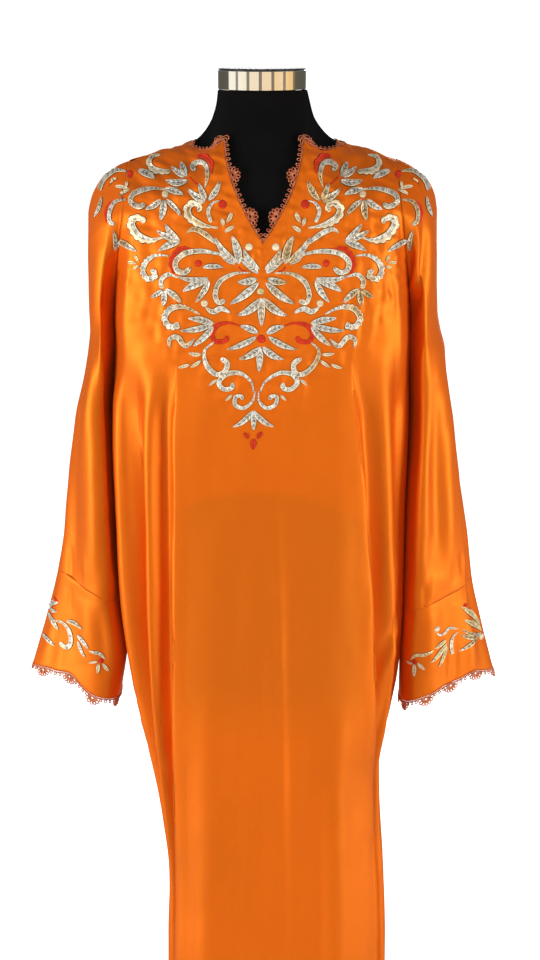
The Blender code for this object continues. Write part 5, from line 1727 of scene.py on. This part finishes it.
# Each profile is the radius and height of one ring after another, from its foot
band = lathe("neck_band", (
    (CAP_RADIUS - 0.0022, cap_low), (CAP_RADIUS - 0.0008, cap_low + 0.0003), (CAP_RADIUS, cap_low + 0.0012),
    (CAP_RADIUS, cap_low + 0.0100), (CAP_RADIUS, lid_z - 0.0090), (CAP_RADIUS, lid_z - 0.0010),
    (CAP_RADIUS - 0.0006, lid_z - 0.0003), (CAP_RADIUS - 0.0014, lid_z)), chrome)
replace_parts(band, "neck_cap")
lid = lathe("neck_lid", (
    (CAP_RADIUS - 0.0016, lid_z - 0.0006), (CAP_RADIUS - 0.0006, lid_z),
    (CAP_RADIUS - 0.0002, lid_z + 0.0006),
    (CAP_RADIUS - 0.0004, cap_high - 0.0008), (CAP_RADIUS - 0.0014, cap_high - 0.0002),
    (CAP_RADIUS - 0.0030, cap_high)), stand_coat)
pole_low, pole_high = BASE_HEIGHT + FACE_GAP, FORM[-1].z - FACE_GAP
pole = lathe("stand_pole", (
    (POLE_RADIUS + 0.008, pole_low), (POLE_RADIUS + 0.008, pole_low + 0.014),
    (POLE_RADIUS + 0.006, pole_low + 0.018), (POLE_RADIUS, pole_low + 0.020),
    (POLE_RADIUS, pole_high - 0.001), (POLE_RADIUS - 0.001, pole_high)), chrome, 64)
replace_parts(pole, "pole")
plate = lathe("stand_plate", (
    (BASE_RADIUS - 0.002, 0.0), (BASE_RADIUS, 0.002), (BASE_RADIUS, BASE_HEIGHT - BASE_EDGE),
    (BASE_RADIUS - 0.0009, BASE_HEIGHT - 0.0009), (BASE_RADIUS - BASE_EDGE, BASE_HEIGHT)), stand_coat, 160)
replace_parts(plate, "base")


# The studio: a pale floor that the camera sees as white, soft lights to the left, the right, in front and
# behind, and cards that the neck cap mirrors
FLOOR, FLOOR_LIT = (0.60, 0.60, 0.60), (0.62, 0.62, 0.62)
FLOOR_HALF, FLOOR_Z = 60, -0.0005
floor_finish = Finish("floor", FLOOR, 0.75)
floor_grain = floor_finish.noise(3.0)
floor_finish.colour(floor_finish.mix(floor_grain, "Fac", FLOOR, FLOOR_LIT))
floor_finish.shader.inputs["Specular IOR Level"].default_value = 0.2
floor_finish.shader.inputs["Emission Color"].default_value = (1, 1, 1, 1)
seen = floor_finish.node("ShaderNodeLightPath")
glow = floor_finish.node("ShaderNodeMath", operation="MULTIPLY")
glow.inputs[1].default_value = 1.00
floor_finish.join(seen, "Is Camera Ray", glow, 0)
floor_finish.join(glow, "Value", floor_finish.shader, "Emission Strength")
corners = [(x * FLOOR_HALF, y * FLOOR_HALF, FLOOR_Z) for x, y in ((-1, -1), (1, -1), (1, 1), (-1, 1))]
floor = mesh_object("floor", corners, [(0, 1, 2, 3)], floor_finish.material, smooth=False)


# What the neck cap mirrors: a ring of small cards from left round the front to right, pale and dim by
# turns, and warmer towards the right. Angles are in degrees from straight ahead.
CARD_STEPS, CARD_REACH, PALE_SHARE = 6, 90, 0.75
LEFT_LIGHT, RIGHT_LIGHT, DIM_SHARE = (1.10, 1.05, 0.90), (1.00, 0.65, 0.28), 0.25
SIDE_LIGHT, SIDE_END = (0.10, 0.09, 0.07), 178  # the dim cards beyond the turns
CARD_DISTANCE, CARD_LOW, CARD_HIGH = 0.34, 1.485, 1.575


def card_bands():
    """Each card's start, end and light."""
    bands = [(-SIDE_END, -CARD_REACH, SIDE_LIGHT), (CARD_REACH, SIDE_END, SIDE_LIGHT)]
    step = 2 * CARD_REACH / CARD_STEPS
    for k in range(CARD_STEPS):
        pale = np.array(LEFT_LIGHT) + (np.array(RIGHT_LIGHT) - LEFT_LIGHT) * k / (CARD_STEPS - 1)
        start = k * step - CARD_REACH
        middle = start + step * PALE_SHARE
        bands += [(start, middle, pale), (middle, start + step, pale * DIM_SHARE)]
    return bands


def mirror_cards():
    verts, finishes = [], []
    bands = card_bands()
    for number, (start, end, light) in enumerate(bands):
        turns = np.radians([start, end])
        for turn, z in zip(turns[[0, 1, 1, 0]], (CARD_LOW, CARD_LOW, CARD_HIGH, CARD_HIGH)):
            verts.append((CARD_DISTANCE * math.sin(turn), -CARD_DISTANCE * math.cos(turn), z))
        finish = Finish(f"card_{number + 1:02d}", (0.01, 0.01, 0.01), 0.9)
        finish.shader.inputs["Emission Color"].default_value = (*light, 1)
        finish.shader.inputs["Emission Strength"].default_value = 1.0
        finishes.append(finish.material)
    obj = mesh_object("mirror_cards", verts, [range(4 * k, 4 * k + 4) for k in range(len(bands))],
                      finishes, smooth=False)
    obj.data.polygons.foreach_set("material_index", range(len(bands)))
    obj.visible_camera = obj.visible_diffuse = obj.visible_shadow = obj.visible_transmission = False


mirror_cards()


def soft_light(name, location, aim, size, power):
    data = bpy.data.lights.new(name, "AREA")
    data.shape = "RECTANGLE"
    data.size, data.size_y = size
    data.energy = power
    obj = bpy.data.objects.new(name, data)
    bpy.context.scene.collection.objects.link(obj)
    obj.location = location
    obj.rotation_euler = (Vector(aim) - Vector(location)).to_track_quat("-Z", "Y").to_euler()
    obj.visible_camera = False


LIGHTS = table(
    "name location aim size power",
    ("key", (-2.60, -1.40, 1.15), (0, 0, 1.05), (1.2, 2.0), 78),
    ("fill", (2.6, -1.45, 1.1), (0, 0, 1.0), (1.2, 2.0), 62),
    ("front", (-0.2, -3.6, 2.4), (0, 0, 1.0), (1.6, 1.6), 19),
    ("back", (0.3, 3.0, 1.5), (0, 0, 1.0), (1.8, 1.8), 60),
)
for light in LIGHTS:
    soft_light(*light)
SKY_LIGHT, SKY_SEEN = 0.30, 1.05  # the white surroundings' strength as light, and as the camera sees them

world = bpy.data.worlds.new("studio")
world.use_nodes = True
sky = world.node_tree.nodes["Background"]
sky.inputs["Color"].default_value = (1.0, 1.0, 1.0, 1)
path = world.node_tree.nodes.new("ShaderNodeLightPath")
strength = world.node_tree.nodes.new("ShaderNodeMapRange")
strength.inputs["To Min"].default_value = SKY_LIGHT
strength.inputs["To Max"].default_value = SKY_SEEN
world.node_tree.links.new(path.outputs["Is Camera Ray"], strength.inputs["Value"])
world.node_tree.links.new(strength.outputs["Result"], sky.inputs["Strength"])
bpy.context.scene.world = world

CAMERA_PLACE, CAMERA_TILT, CAMERA_LENS = (0.00973, -2.2, 1.640), 74.6, 66.2
camera = bpy.data.cameras.new("camera")
camera.lens = CAMERA_LENS
camera.sensor_width = 36
camera.clip_end = 200
viewer = bpy.data.objects.new("camera", camera)
bpy.context.scene.collection.objects.link(viewer)
viewer.location = CAMERA_PLACE
viewer.rotation_euler = (math.radians(CAMERA_TILT), 0, 0)
bpy.context.scene.camera = viewer
